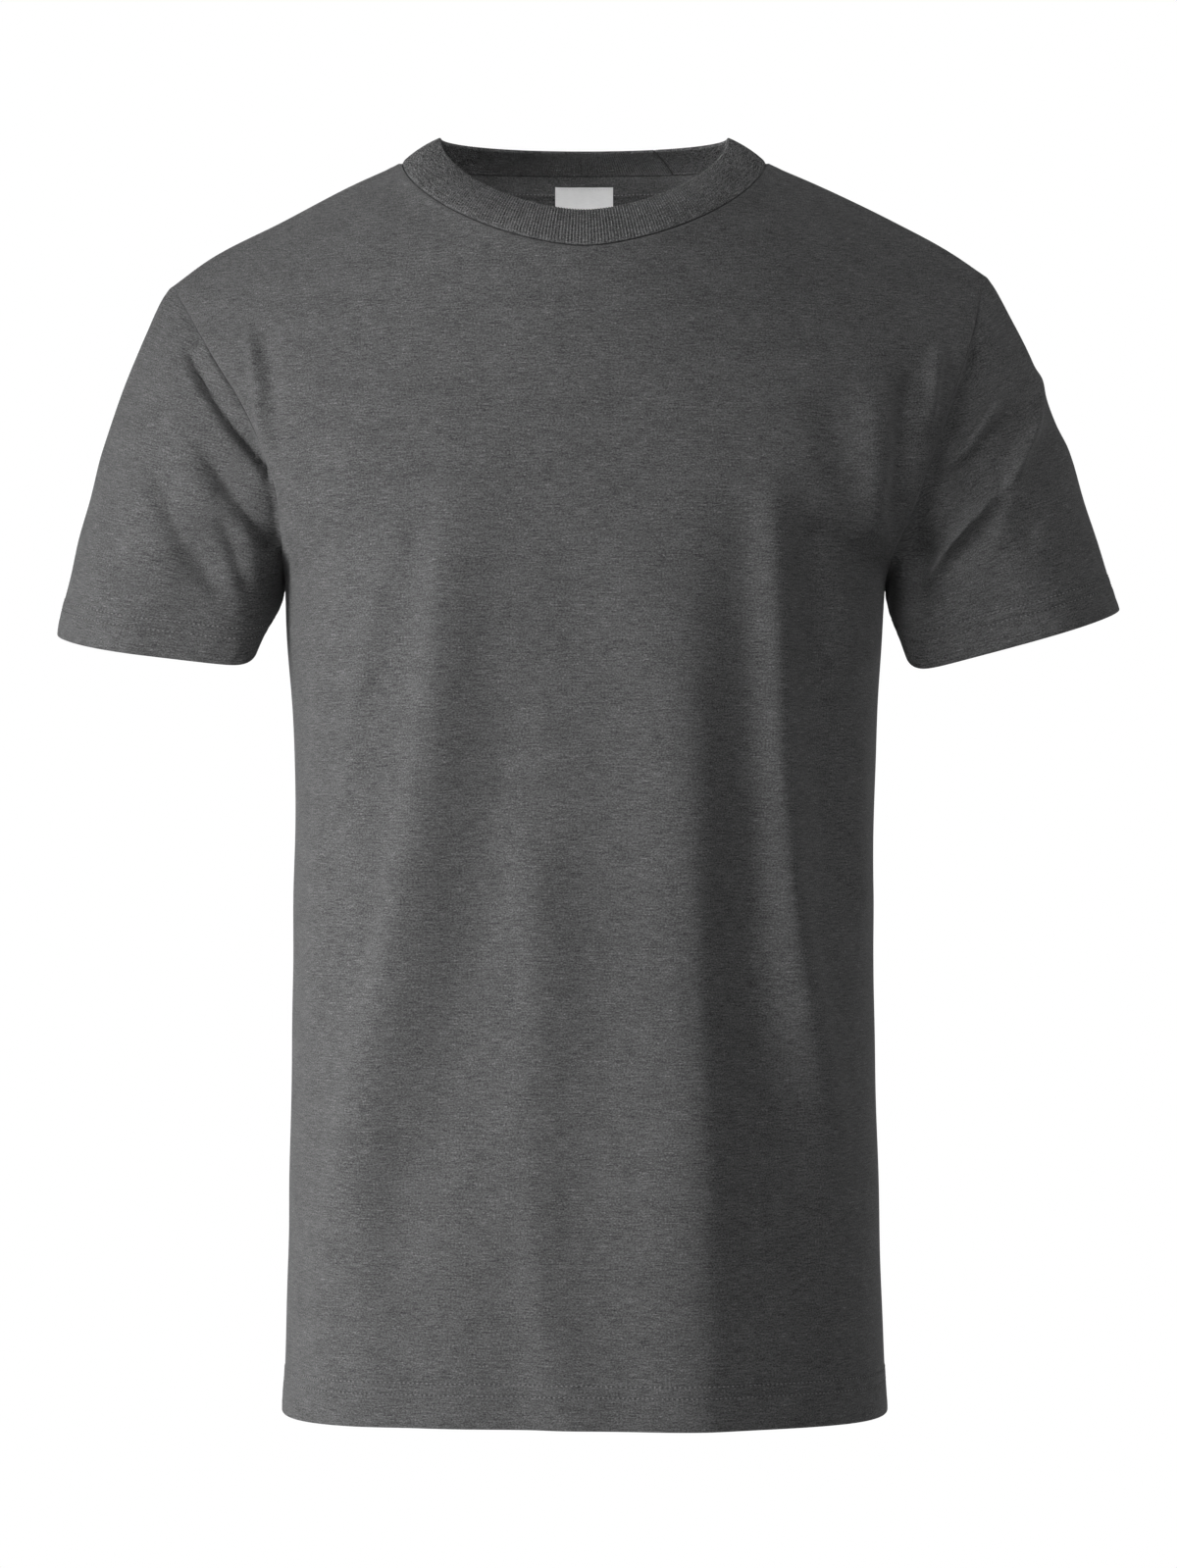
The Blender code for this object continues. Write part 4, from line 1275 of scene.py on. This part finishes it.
@dataclass
class Label:
    """The small blank label that is sewn on over the tape."""

    tape: NeckTape  # the tape that it lies on
    width: float = 0.0335
    length: float = 0.0400
    drop: float = 0.0064  # distance of its top edge from the collar seam
    thick: float = 0.0005
    hang: float = 0.0022  # how far its lower end stands free

    @property
    def base(self) -> float:
        """Height of its underside above the inside of the back."""
        return self.tape.clear + self.tape.thick + LABEL_CLEAR

    def sheet(self, lift: float, places: Array, across: Array) -> Array:
        """Points of the label.

        Args:
            lift: Height above the inside of the back.
            places: Distances down from the collar seam.
            across: Distances from the middle.

        Returns:
            Rows by columns of points.
        """
        rows = self.tape.lines(places, lift)
        return np.stack([along(row, distances(row)[-1] / 2 + across) for row in rows])

    def build(self) -> bpy.types.Object:
        """Makes the label, a little free of the back at its lower end."""
        places = self.drop + stations(self.length, 16, (0.0, 0.0004), (0.0, 0.0004))
        across = stations(self.width, 14, (0.0, 0.0004), (0.0, 0.0004)) - self.width / 2
        under, over = (self.sheet(lift, places, across) for lift in (self.base, self.base + self.thick))
        hang = ((places - self.drop) / self.length) ** 2 * self.hang
        curl = hang[:, None] * (0.75 + 0.25 * np.cos(2 * np.pi * across / self.width))
        move = curl[..., None] * unit(over - under)
        return Shell("label_cloth", under + move, over + move, unfold(under + move)).build()


# ---- Shader groups and finishes ----


@dataclass
class Nodes:
    """A short way to fill the node tree of a material, a world or a group."""

    tree: bpy.types.NodeTree

    def new(self, kind: str, **settings: object) -> bpy.types.Node:
        """Adds a node and sets its properties.

        Args:
            kind: Type of the node.
            **settings: Its properties by name.

        Returns:
            The new node.
        """
        made = self.tree.nodes.new(kind)
        for name, value in settings.items():
            setattr(made, name, value)
        return made

    def fill(self, node: bpy.types.Node, **inputs: object) -> bpy.types.Node:
        """Sets a node's inputs, whose spaces are written as underscores."""
        for name, value in inputs.items():
            self.put(node.inputs[name.replace("_", " ")], value)
        return node

    def put(self, socket: Socket, value: object) -> None:
        """Links a socket to another, or sets it to a number or a colour."""
        if isinstance(value, Socket):
            self.tree.links.new(value, socket)
        elif isinstance(value, tuple) and len(value) == 3 and socket.type == "RGBA":
            socket.default_value = (*value, 1.0)
        else:
            socket.default_value = value

    def math(self, operation: str, first: object, second: object = 0.0) -> Socket:
        """Output of a Math node.

        Args:
            operation: Name of the operation.
            first: First value.
            second: Second value.

        Returns:
            The result.
        """
        made = self.new("ShaderNodeMath", operation=operation)
        self.put(made.inputs[0], first)
        self.put(made.inputs[1], second)
        return made.outputs[0]

    def sum_of(self, *parts: tuple[object, float]) -> Socket:
        """Weighted sum of two values, each with its weight."""
        first, second = (self.math("MULTIPLY", value, weight) for value, weight in parts)
        return self.math("ADD", first, second)

    def mix(self, share: object, first: object, second: object, blend_type: str = "MIX") -> Socket:
        """Output of a Mix node for colours.

        Args:
            share: Share of the second colour.
            first: First colour.
            second: Second colour.
            blend_type: How they are blended.

        Returns:
            The mixed colour.
        """
        made = self.new("ShaderNodeMix", data_type="RGBA", blend_type=blend_type, clamp_factor=True)
        for place, value in ((0, share), (6, first), (7, second)):
            self.put(made.inputs[place], value)
        return made.outputs[2]

    def noise(self, vector: object, scale: Triple, detail: float) -> Socket:
        """Output of a Noise Texture that is stretched by a scale on each axis.

        Args:
            vector: Coordinates.
            scale: Cells for each metre on each axis.
            detail: Number of finer layers.

        Returns:
            The value of the noise.
        """
        mapping = self.fill(self.new("ShaderNodeMapping"), Vector=vector, Scale=scale)
        made = self.new("ShaderNodeTexNoise")
        return self.fill(
            made, Vector=mapping.outputs[0], Scale=1.0, Detail=detail, Roughness=0.6
        ).outputs[0]

    def ramp(self, value: object, low: float, high: float) -> Socket:
        """A smooth step of a value from 0 at low to 1 at high."""
        made = self.new("ShaderNodeMapRange", interpolation_type="SMOOTHSTEP")
        return self.fill(made, Value=value, From_Min=low, From_Max=high).outputs[0]

    def bump(self, strength: float, distance: float, height: Socket) -> Socket:
        """Normals that a height turns."""
        made = self.new("ShaderNodeBump")
        return self.fill(made, Strength=strength, Distance=distance, Height=height).outputs[0]

    def weave(self) -> Socket:
        """Flat coordinates of the cloth."""
        return self.new("ShaderNodeUVMap", uv_map="weave").outputs[0]

    def attribute(self, name: str) -> Socket:
        """A number that the mesh holds at each point."""
        return self.new("ShaderNodeAttribute", attribute_name=name).outputs["Fac"]

    def show(self, felt: Socket, seen: Socket) -> None:
        """Shows one shader to the light and another to the camera.

        Args:
            felt: Shader that lights other things.
            seen: Shader that the camera sees.
        """
        path = self.new("ShaderNodeLightPath").outputs["Is Camera Ray"]
        choice = self.new("ShaderNodeMixShader")
        for socket, value in zip(choice.inputs, (path, felt, seen)):
            self.put(socket, value)
        output = next(node for node in self.tree.nodes if node.type.startswith("OUTPUT_"))
        self.put(output.inputs["Surface"], choice.outputs[0])


def new_group(name: str, inputs: dict[str, str], outputs: dict[str, str]) -> tuple[Nodes, dict]:
    """Makes an empty shader group.

    Args:
        name: Name of the group.
        inputs: Socket type of each input.
        outputs: Socket type of each output.

    Returns:
        The group's nodes, and its sockets by name.
    """
    tree = bpy.data.node_groups.new(name, "ShaderNodeTree")
    for way, sockets in (("INPUT", inputs), ("OUTPUT", outputs)):
        for label, kind in sockets.items():
            tree.interface.new_socket(name=label, in_out=way, socket_type="NodeSocket" + kind)
    enter, leave = tree.nodes.new("NodeGroupInput"), tree.nodes.new("NodeGroupOutput")
    ends = {label: enter.outputs[label] for label in inputs}
    return Nodes(tree), ends | {label: leave.inputs[label] for label in outputs}


def heather_group() -> bpy.types.NodeTree:
    """Heather yarn: short dark and light streaks along the courses, clouds and grain."""
    inputs = {"Flat": "Vector"} | dict.fromkeys(("Yarn", "Dark fleck", "Light fleck"), "Color")
    inputs |= dict.fromkeys(("Fleck", "Cloud", "Grain"), "Float")
    nodes, ends = new_group("heather_yarn", inputs, {"Color": "Color", "Fibre": "Float"})
    math = nodes.math
    long_fleck, short_fleck, blotch, cloud, grain = (
        nodes.noise(ends["Flat"], (across, up, 1.0), detail)
        for across, up, detail in (
            (140.0, 1080.0, 2.0), (780.0, 1400.0, 1.0), (130.0, 520.0, 2.0), (38.0, 85.0, 3.0),
            (1050.0, 1250.0, 1.0),
        )
    )
    streak = nodes.sum_of((long_fleck, 0.55), (short_fleck, 0.45))
    dark = math("MULTIPLY", nodes.ramp(streak, 0.50, 0.34), ends["Fleck"])
    light = math("MULTIPLY", nodes.ramp(streak, 0.53, 0.68), ends["Fleck"])
    colour = nodes.mix(light, nodes.mix(dark, ends["Yarn"], ends["Dark fleck"]), ends["Light fleck"])
    broad = nodes.sum_of((cloud, 0.5), (blotch, 0.5))
    soft = math("MULTIPLY", math("SUBTRACT", broad, 0.5), ends["Cloud"])
    rough = math("MULTIPLY", math("SUBTRACT", grain, 0.5), ends["Grain"])
    level = math("ADD", math("ADD", soft, rough), 1.0)
    shade = nodes.fill(nodes.new("ShaderNodeCombineColor"), Red=level, Green=level, Blue=level)
    nodes.put(ends["Color"], nodes.mix(1.0, colour, shade.outputs[0], "MULTIPLY"))
    nodes.put(ends["Fibre"], nodes.sum_of((streak, 0.5), (grain, 0.5)))
    return nodes.tree


def knit_group() -> bpy.types.NodeTree:
    """Height of a plain knit: columns of V-shaped loops."""
    nodes, ends = new_group(
        "knit_loops", {"Flat": "Vector", "Wale": "Float", "Course": "Float"}, {"Height": "Float"}
    )
    math = nodes.math
    split = nodes.fill(nodes.new("ShaderNodeSeparateXYZ"), Vector=ends["Flat"])
    wale = math("FRACT", math("DIVIDE", split.outputs[0], ends["Wale"]))
    leg = math("MULTIPLY", math("ABSOLUTE", math("SUBTRACT", wale, 0.5)), 2.0)
    course = math("DIVIDE", split.outputs[1], ends["Course"])
    slope = math("SUBTRACT", course, math("MULTIPLY", leg, 0.6))
    loop = math("SINE", math("MULTIPLY", slope, 2 * np.pi))
    crown = math("SUBTRACT", 1.0, math("POWER", math("ABSOLUTE", math("SUBTRACT", leg, 0.5)), 1.5))
    nodes.put(ends["Height"], nodes.sum_of((loop, 0.25), (crown, 0.9)))
    return nodes.tree


@dataclass(frozen=True, kw_only=True)
class Finish:
    """What the pieces of one slot are made of."""

    name: str  # name of the material
    slot: str  # the record's slot
    colour: Triple  # main colour, linear

    def tint(self, share: float) -> Triple:
        """The colour, darker or lighter by a share."""
        return tuple(share * part for part in self.colour)

    def material(self, groups: dict[str, bpy.types.NodeTree]) -> bpy.types.Material:
        """Makes the material.

        Args:
            groups: The shared shader groups by name.

        Returns:
            The finished material.
        """
        made = bpy.data.materials.new(self.name)
        made.use_nodes = True
        made.diffuse_color = (*self.colour, 1.0)
        nodes = Nodes(made.node_tree)
        nodes.fill(made.node_tree.nodes["Principled BSDF"], **self.surface(nodes, groups))
        return made

    def surface(self, nodes: Nodes, groups: dict[str, bpy.types.NodeTree]) -> dict[str, object]:
        """Inputs of the shader, one for each that isn't left as it comes."""
        raise NotImplementedError


@dataclass(frozen=True, kw_only=True)
class KnitFinish(Finish):
    """A heather knit."""

    dark: Triple  # colour of dark flecks
    light: Triple  # colour of light flecks
    fleck: float = 1.0  # strength of the flecks
    cloud: float = 1.15  # strength of the soft clouds
    grain: float = 2.2  # strength of the grain
    wale: float = 0.00088  # width of a column of loops
    course: float = 0.00070  # height of a row of loops
    relief: float = 0.00014  # height of the loops

    def surface(self, nodes: Nodes, groups: dict[str, bpy.types.NodeTree]) -> dict[str, object]:
        """Yarn and loops, with the fuzz of the fibres over them, and shade painted into seams and rib
        furrows.

        Args:
            nodes: The material's nodes.
            groups: The shared shader groups by name.

        Returns:
            Inputs of the shader by name.
        """
        flat = nodes.weave()
        yarn = nodes.fill(
            nodes.new("ShaderNodeGroup", node_tree=groups["heather"]),
            Flat=flat, Yarn=self.colour, Dark_fleck=self.dark, Light_fleck=self.light,
            Fleck=self.fleck, Cloud=self.cloud, Grain=self.grain,
        )
        knit = nodes.new("ShaderNodeGroup", node_tree=groups["knit"])
        nodes.fill(knit, Flat=flat, Wale=self.wale, Course=self.course)
        height = nodes.sum_of((knit.outputs["Height"], 1.0), (yarn.outputs["Fibre"], 1.2))
        # painted shade: seams, rib furrows and the collar's join are darkened towards this colour
        painted_shade_colour = tuple(0.30 * part for part in self.dark)
        return {
            "Base Color": nodes.mix(nodes.attribute("seam_shade"), yarn.outputs["Color"], painted_shade_colour),
            "Normal": nodes.bump(0.55, self.relief, height),
            "Roughness": 0.90,
            "Specular IOR Level": 0.18,
            "Sheen Weight": 0.12,
            "Sheen Roughness": 0.45,
            "Sheen Tint": (0.82, 0.82, 0.83),
        }


@dataclass(frozen=True, kw_only=True)
class SatinFinish(Finish):
    """The blank label's woven satin."""

    thread: float = 0.00022  # width of a thread

    def surface(self, nodes: Nodes, groups: dict[str, bpy.types.NodeTree]) -> dict[str, object]:
        """Fine threads across, with slight soiling by use.

        Args:
            nodes: The material's nodes.
            groups: The shared shader groups by name; not used.

        Returns:
            Inputs of the shader by name.
        """
        flat = nodes.weave()
        threads = nodes.noise(flat, (300.0, 1 / self.thread, 1.0), 1.0)
        shade = nodes.sum_of((threads, 0.5), (nodes.noise(flat, (60.0, 60.0, 1.0), 2.0), 0.5))
        return {
            "Base Color": nodes.mix(nodes.ramp(shade, 0.35, 0.75), self.colour, self.tint(0.88)),
            "Normal": nodes.bump(0.4, 0.00004, threads),
            "Roughness": 0.55,
            "Specular IOR Level": 0.35,
        }


@dataclass(frozen=True, kw_only=True)
class ThreadFinish(Finish):
    """Spun sewing thread."""

    hole_shade: float = 0.08  # painted shade: share of the colour that is left where the thread dives into the cloth

    def surface(self, nodes: Nodes, groups: dict[str, bpy.types.NodeTree]) -> dict[str, object]:
        """Twisted plies, uneven in tone, with shade painted where they dive into the cloth.

        Args:
            nodes: The material's nodes.
            groups: The shared shader groups by name; not used.

        Returns:
            Inputs of the shader by name.
        """
        place = nodes.new("ShaderNodeTexCoord").outputs["Object"]
        tone = nodes.noise(place, (900.0, 900.0, 900.0), 2.0)
        thread = nodes.mix(nodes.ramp(tone, 0.35, 0.62), self.tint(0.6), self.colour)
        # painted shade of the needle holes at each stitch's ends
        ends = nodes.ramp(nodes.attribute("dive"), 0.36, 0.62)
        return {
            "Base Color": nodes.mix(ends, thread, self.tint(self.hole_shade)),
            "Normal": nodes.bump(0.5, 0.00006, tone),
            "Roughness": 0.70,
            "Sheen Weight": 0.15,
        }


JERSEY = KnitFinish(
    name="charcoal_heather_jersey", slot="body_jersey",
    colour=(0.0640, 0.0640, 0.0645), dark=(0.030, 0.030, 0.031), light=(0.110, 0.110, 0.111),
)
RIB_KNIT = KnitFinish(
    name="charcoal_heather_rib", slot="collar_rib",
    colour=(0.0835, 0.0835, 0.0840), dark=(0.040, 0.040, 0.041), light=(0.150, 0.150, 0.151),
    fleck=1.4, cloud=1.5, grain=4.2, course=0.00075, relief=0.00006,
)
TAPE_JERSEY = KnitFinish(
    name="charcoal_heather_tape", slot="tape_jersey",
    colour=(0.0760, 0.0760, 0.0765), dark=(0.040, 0.040, 0.041), light=(0.130, 0.130, 0.131), fleck=0.7,
)
LABEL_SATIN = SatinFinish(name="blank_label_satin", slot="label_satin", colour=(0.84, 0.84, 0.84))
JERSEY_THREAD = ThreadFinish(
    name="charcoal_sewing_thread", slot="body_jersey", colour=(0.138, 0.138, 0.139)
)
PALE_THREAD = ThreadFinish(name="grey_neck_tape_thread", slot="tape_jersey", colour=(0.26, 0.26, 0.262))
# the white label thread keeps more of its colour in the painted shade at its ends
LABEL_THREAD = ThreadFinish(
    name="white_label_thread", slot="label_satin", colour=(0.80, 0.80, 0.80), hole_shade=0.45
)


# ---- Garment ----


@dataclass
class Shirt:
    """The whole garment, built piece by piece in the order of sewing."""

    front: BodyPanel = field(default_factory=lambda: BodyPanel(Face.FRONT))
    back: BodyPanel = field(default_factory=lambda: BodyPanel(Face.BACK))

    def __post_init__(self) -> None:
        """Cuts the sleeves to the panels, and lets all four agree along their seams."""
        self.groups = {"heather": heather_group(), "knit": knit_group()}
        self.materials: dict[str, bpy.types.Material] = {}
        underarm, cuff_inner = Lead(0.35, 0.94, 0.030), Lead(0.42, 0.91, 0.030)
        self.sleeves = (
            Sleeve(
                Side.RIGHT, self.front, self.back, (-0.2388, -0.2697), (0.0544, 0.062), (-0.12, 0.12), 0.009,
                (Lead(0.84, 0.54, 0.098), underarm, Lead(0.17, 0.98, 0.110), cuff_inner),
            ),
            Sleeve(
                Side.LEFT, self.front, self.back, (0.2400, -0.2650), (0.0582, 0.062), (0.27, 0.09), 0.011,
                (Lead(0.84, 0.54, 0.090), underarm, Lead(0.30, 0.95, 0.110), cuff_inner),
            ),
        )
        self.front.share_normals(self.back)
        for sleeve in self.sleeves:
            sleeve.share_normals()
        self.front.settle_normals()
        self.back.settle_normals()

    def finish(self, piece: bpy.types.Object, finish: Finish) -> bpy.types.Object:
        """Gives a piece its finish and its place on the body.

        Args:
            piece: The piece.
            finish: Its finish.

        Returns:
            The same piece.
        """
        if finish.name not in self.materials:
            self.materials[finish.name] = finish.material(self.groups)
        piece.data.materials.append(self.materials[finish.name])
        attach(piece, BODY)
        LOG.info("%s: %d faces", piece.name, len(piece.data.polygons))
        return piece

    def cloth(self, piece: bpy.types.Object, finish: Finish) -> bpy.types.Object:
        """Finishes a piece of cloth that stands for the node that it is named after."""
        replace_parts(self.finish(piece, finish), piece.name.removesuffix("_cloth"))
        return piece

    def hem_stitches(self) -> bpy.types.Object:
        """Twin rows round the hem."""
        runs = StitchRuns("hem_stitches")
        for panel in (self.front, self.back):
            runs.add_hem(BODY_HEM, panel.faces()[0], panel.normals, run_up(panel.surface)[:, 0])
        return self.finish(runs.build(), JERSEY_THREAD)

    def cuff_stitches(self, sleeve: Sleeve) -> bpy.types.Object:
        """Twin rows round a cuff.

        Args:
            sleeve: The sleeve that has the cuff.

        Returns:
            The finished rows.
        """
        runs = StitchRuns("cuff_stitches_" + sleeve.side.word)
        up = run_down(sleeve.surface)[:, 0]
        runs.add_hem(CUFF_HEM, looped(sleeve.faces()[0]), looped(sleeve.normals), up)
        return self.finish(runs.build(), JERSEY_THREAD)

    def tape_stitches(self, tape: NeckTape) -> bpy.types.Object:
        """The row along the tape's lower edge.

        Args:
            tape: The tape that is sewn down.

        Returns:
            The finished row.
        """
        place = np.array([tape.start + tape.depth - 0.0013])
        runs = StitchRuns("tape_stitches", pitch=0.0022, length=0.0020, width=0.0005)
        over, under = (tape.lines(place, lift)[0] for lift in (tape.clear + tape.thick, tape.clear))
        runs.add(over[1:-1], unit(over - under)[1:-1])
        return self.finish(runs.build(), PALE_THREAD)

    def label_stitches(self, label: Label) -> bpy.types.Object:
        """The row across the label's top edge.

        Args:
            label: The label that is sewn on.

        Returns:
            The finished row.
        """
        place = np.array([label.drop + 0.0012])
        across = np.linspace(-0.46, 0.46, 24) * label.width
        over, under = (
            label.sheet(lift, place, across)[0] for lift in (label.base + label.thick, label.base)
        )
        runs = StitchRuns("label_stitches", pitch=0.0016, length=0.0012, width=0.00026)
        runs.add(over, unit(over - under))
        return self.finish(runs.build(), LABEL_THREAD)

    def build(self) -> None:
        """Makes and finishes every piece."""
        front = self.cloth(self.front.build(), JERSEY)
        back = self.cloth(self.back.build(), JERSEY)
        sleeves = [self.cloth(sleeve.build(), JERSEY) for sleeve in self.sleeves]
        collar = self.cloth(Collar(self.front, self.back).build(), RIB_KNIT)
        tape = NeckTape(self.back)
        tape_piece = self.cloth(tape.build(), TAPE_JERSEY)
        label = Label(tape)
        label_piece = self.cloth(label.build(), LABEL_SATIN)
        hem_stitches = self.hem_stitches()
        cuff_stitches = [self.cuff_stitches(sleeve) for sleeve in self.sleeves]
        tape_stitches, label_stitches = self.tape_stitches(tape), self.label_stitches(label)


# ---- Studio ----


@dataclass(frozen=True)
class Softbox:
    """A large soft light."""

    name: str
    place: Triple  # its middle
    aim: Triple  # the point that it faces
    size: Pair  # width and height
    power: float  # power in watts
    spread: float = 180.0  # angle in degrees to which a grid holds it

    def build(self) -> None:
        """Adds the light."""
        data = bpy.data.lights.new(self.name, "AREA")
        data.shape = "RECTANGLE"
        data.size, data.size_y = self.size
        data.energy = self.power
        data.spread = np.radians(self.spread)
        light = link(self.name, data)
        light.location = self.place
        ahead = Vector(self.aim) - Vector(self.place)
        light.rotation_euler = ahead.to_track_quat("-Z", "Y").to_euler()
        light.visible_camera = False


@dataclass
class Studio:
    """A pale floor, a white surround, soft light from the upper left, and the camera."""

    camera_place: Triple = (0.0025, -2.2, -0.3468)  # level and square to the front
    metres_per_pixel: float = 0.5475e-3  # scale in the plane of the shoulder seams
    frame_height: int = 1599  # height of the full picture in pixels
    floor: float = -1.05  # height of the floor
    ambient: float = 0.02  # brightness of the surround as the cloth sees it
    lights: tuple[Softbox, ...] = (
        Softbox("key", (-1.55, -0.88, -0.35), (0.0, 0.0, -0.64), (0.6, 1.2), 9.7, 70.0),
        Softbox("low_key", (-1.74, -0.47, -1.0), (0.0, 0.0, -0.33), (0.8, 0.8), 7.8),
        Softbox("cross", (-0.95, -1.5, 0.5), (0.22, 0.0, -0.22), (0.6, 0.6), 0.72, 40.0),
        Softbox("crown", (0.85, -1.25, 1.2), (0.0, 0.0, -0.1), (1.0, 0.8), 12.8),
        Softbox("fill", (0.6, -3.0, 0.1), (0.0, 0.0, -0.35), (2.4, 2.4), 13.5),
        Softbox("edge", (2.3, 1.0, 0.3), (0.0, 0.0, -0.35), (0.8, 1.8), 9.5),
        Softbox("rim", (-1.9, 0.25, 0.9), (-0.25, 0.0, -0.05), (0.8, 0.8), 7.5),
        Softbox("behind", (-0.3, 3.0, 0.5), (0.0, 0.0, -0.35), (2.4, 2.4), 36.0),
        Softbox("lining", (0.04, -0.02, -0.15), (0.03, 0.08, -0.03), (0.08, 0.08), 0.12),
    )

    def add_camera(self) -> None:
        """Adds the camera, level and straight ahead."""
        data = bpy.data.cameras.new("camera")
        data.sensor_fit = "AUTO"
        data.sensor_width = 36.0
        away = -self.camera_place[1]
        data.lens = data.sensor_width * away / (self.frame_height * self.metres_per_pixel)
        camera = link("camera", data)
        camera.location = self.camera_place
        camera.rotation_euler = (np.pi / 2, 0.0, 0.0)
        bpy.context.scene.camera = camera

    def add_surround(self) -> None:
        """Makes the world white to the camera and dimmer to the cloth."""
        world = bpy.data.worlds.new("surround")
        world.use_nodes = True
        nodes = Nodes(world.node_tree)
        felt, seen = (
            nodes.fill(nodes.new("ShaderNodeBackground"), Color=colour, Strength=strength).outputs[0]
            for colour, strength in (((0.98, 0.99, 1.0), self.ambient), ((1.0, 1.0, 1.0), 1.0))
        )
        nodes.show(felt, seen)
        bpy.context.scene.world = world

    def add_floor(self) -> None:
        """Adds the pale floor, as bright as the surround to the camera."""
        mesh = bmesh.new()
        bmesh.ops.create_grid(mesh, x_segments=4, y_segments=4, size=4.0)
        bmesh.ops.translate(mesh, verts=mesh.verts, vec=(0.0, 0.0, self.floor))
        floor = piece_of("floor", mesh)
        material = bpy.data.materials.new("pale_floor")
        material.use_nodes = True
        nodes = Nodes(material.node_tree)
        shader = material.node_tree.nodes["Principled BSDF"]
        nodes.fill(shader, Base_Color=(0.80, 0.80, 0.80), Roughness=0.9)
        white = nodes.fill(nodes.new("ShaderNodeEmission"), Color=(1.0, 1.0, 1.0), Strength=1.0)
        nodes.show(shader.outputs[0], white.outputs[0])
        floor.data.materials.append(material)

    def build(self) -> None:
        """Sets up the whole studio."""
        bpy.context.scene.view_settings.view_transform = "Standard"
        self.add_surround()
        self.add_floor()
        for light in self.lights:
            light.build()
        self.add_camera()


def main() -> None:
    """Builds the studio and the shirt."""
    logging.basicConfig(level=logging.INFO, format="%(name)s: %(message)s")
    Studio().build()
    Shirt().build()
    bpy.context.view_layer.update()


if __name__ == "__main__":
    main()
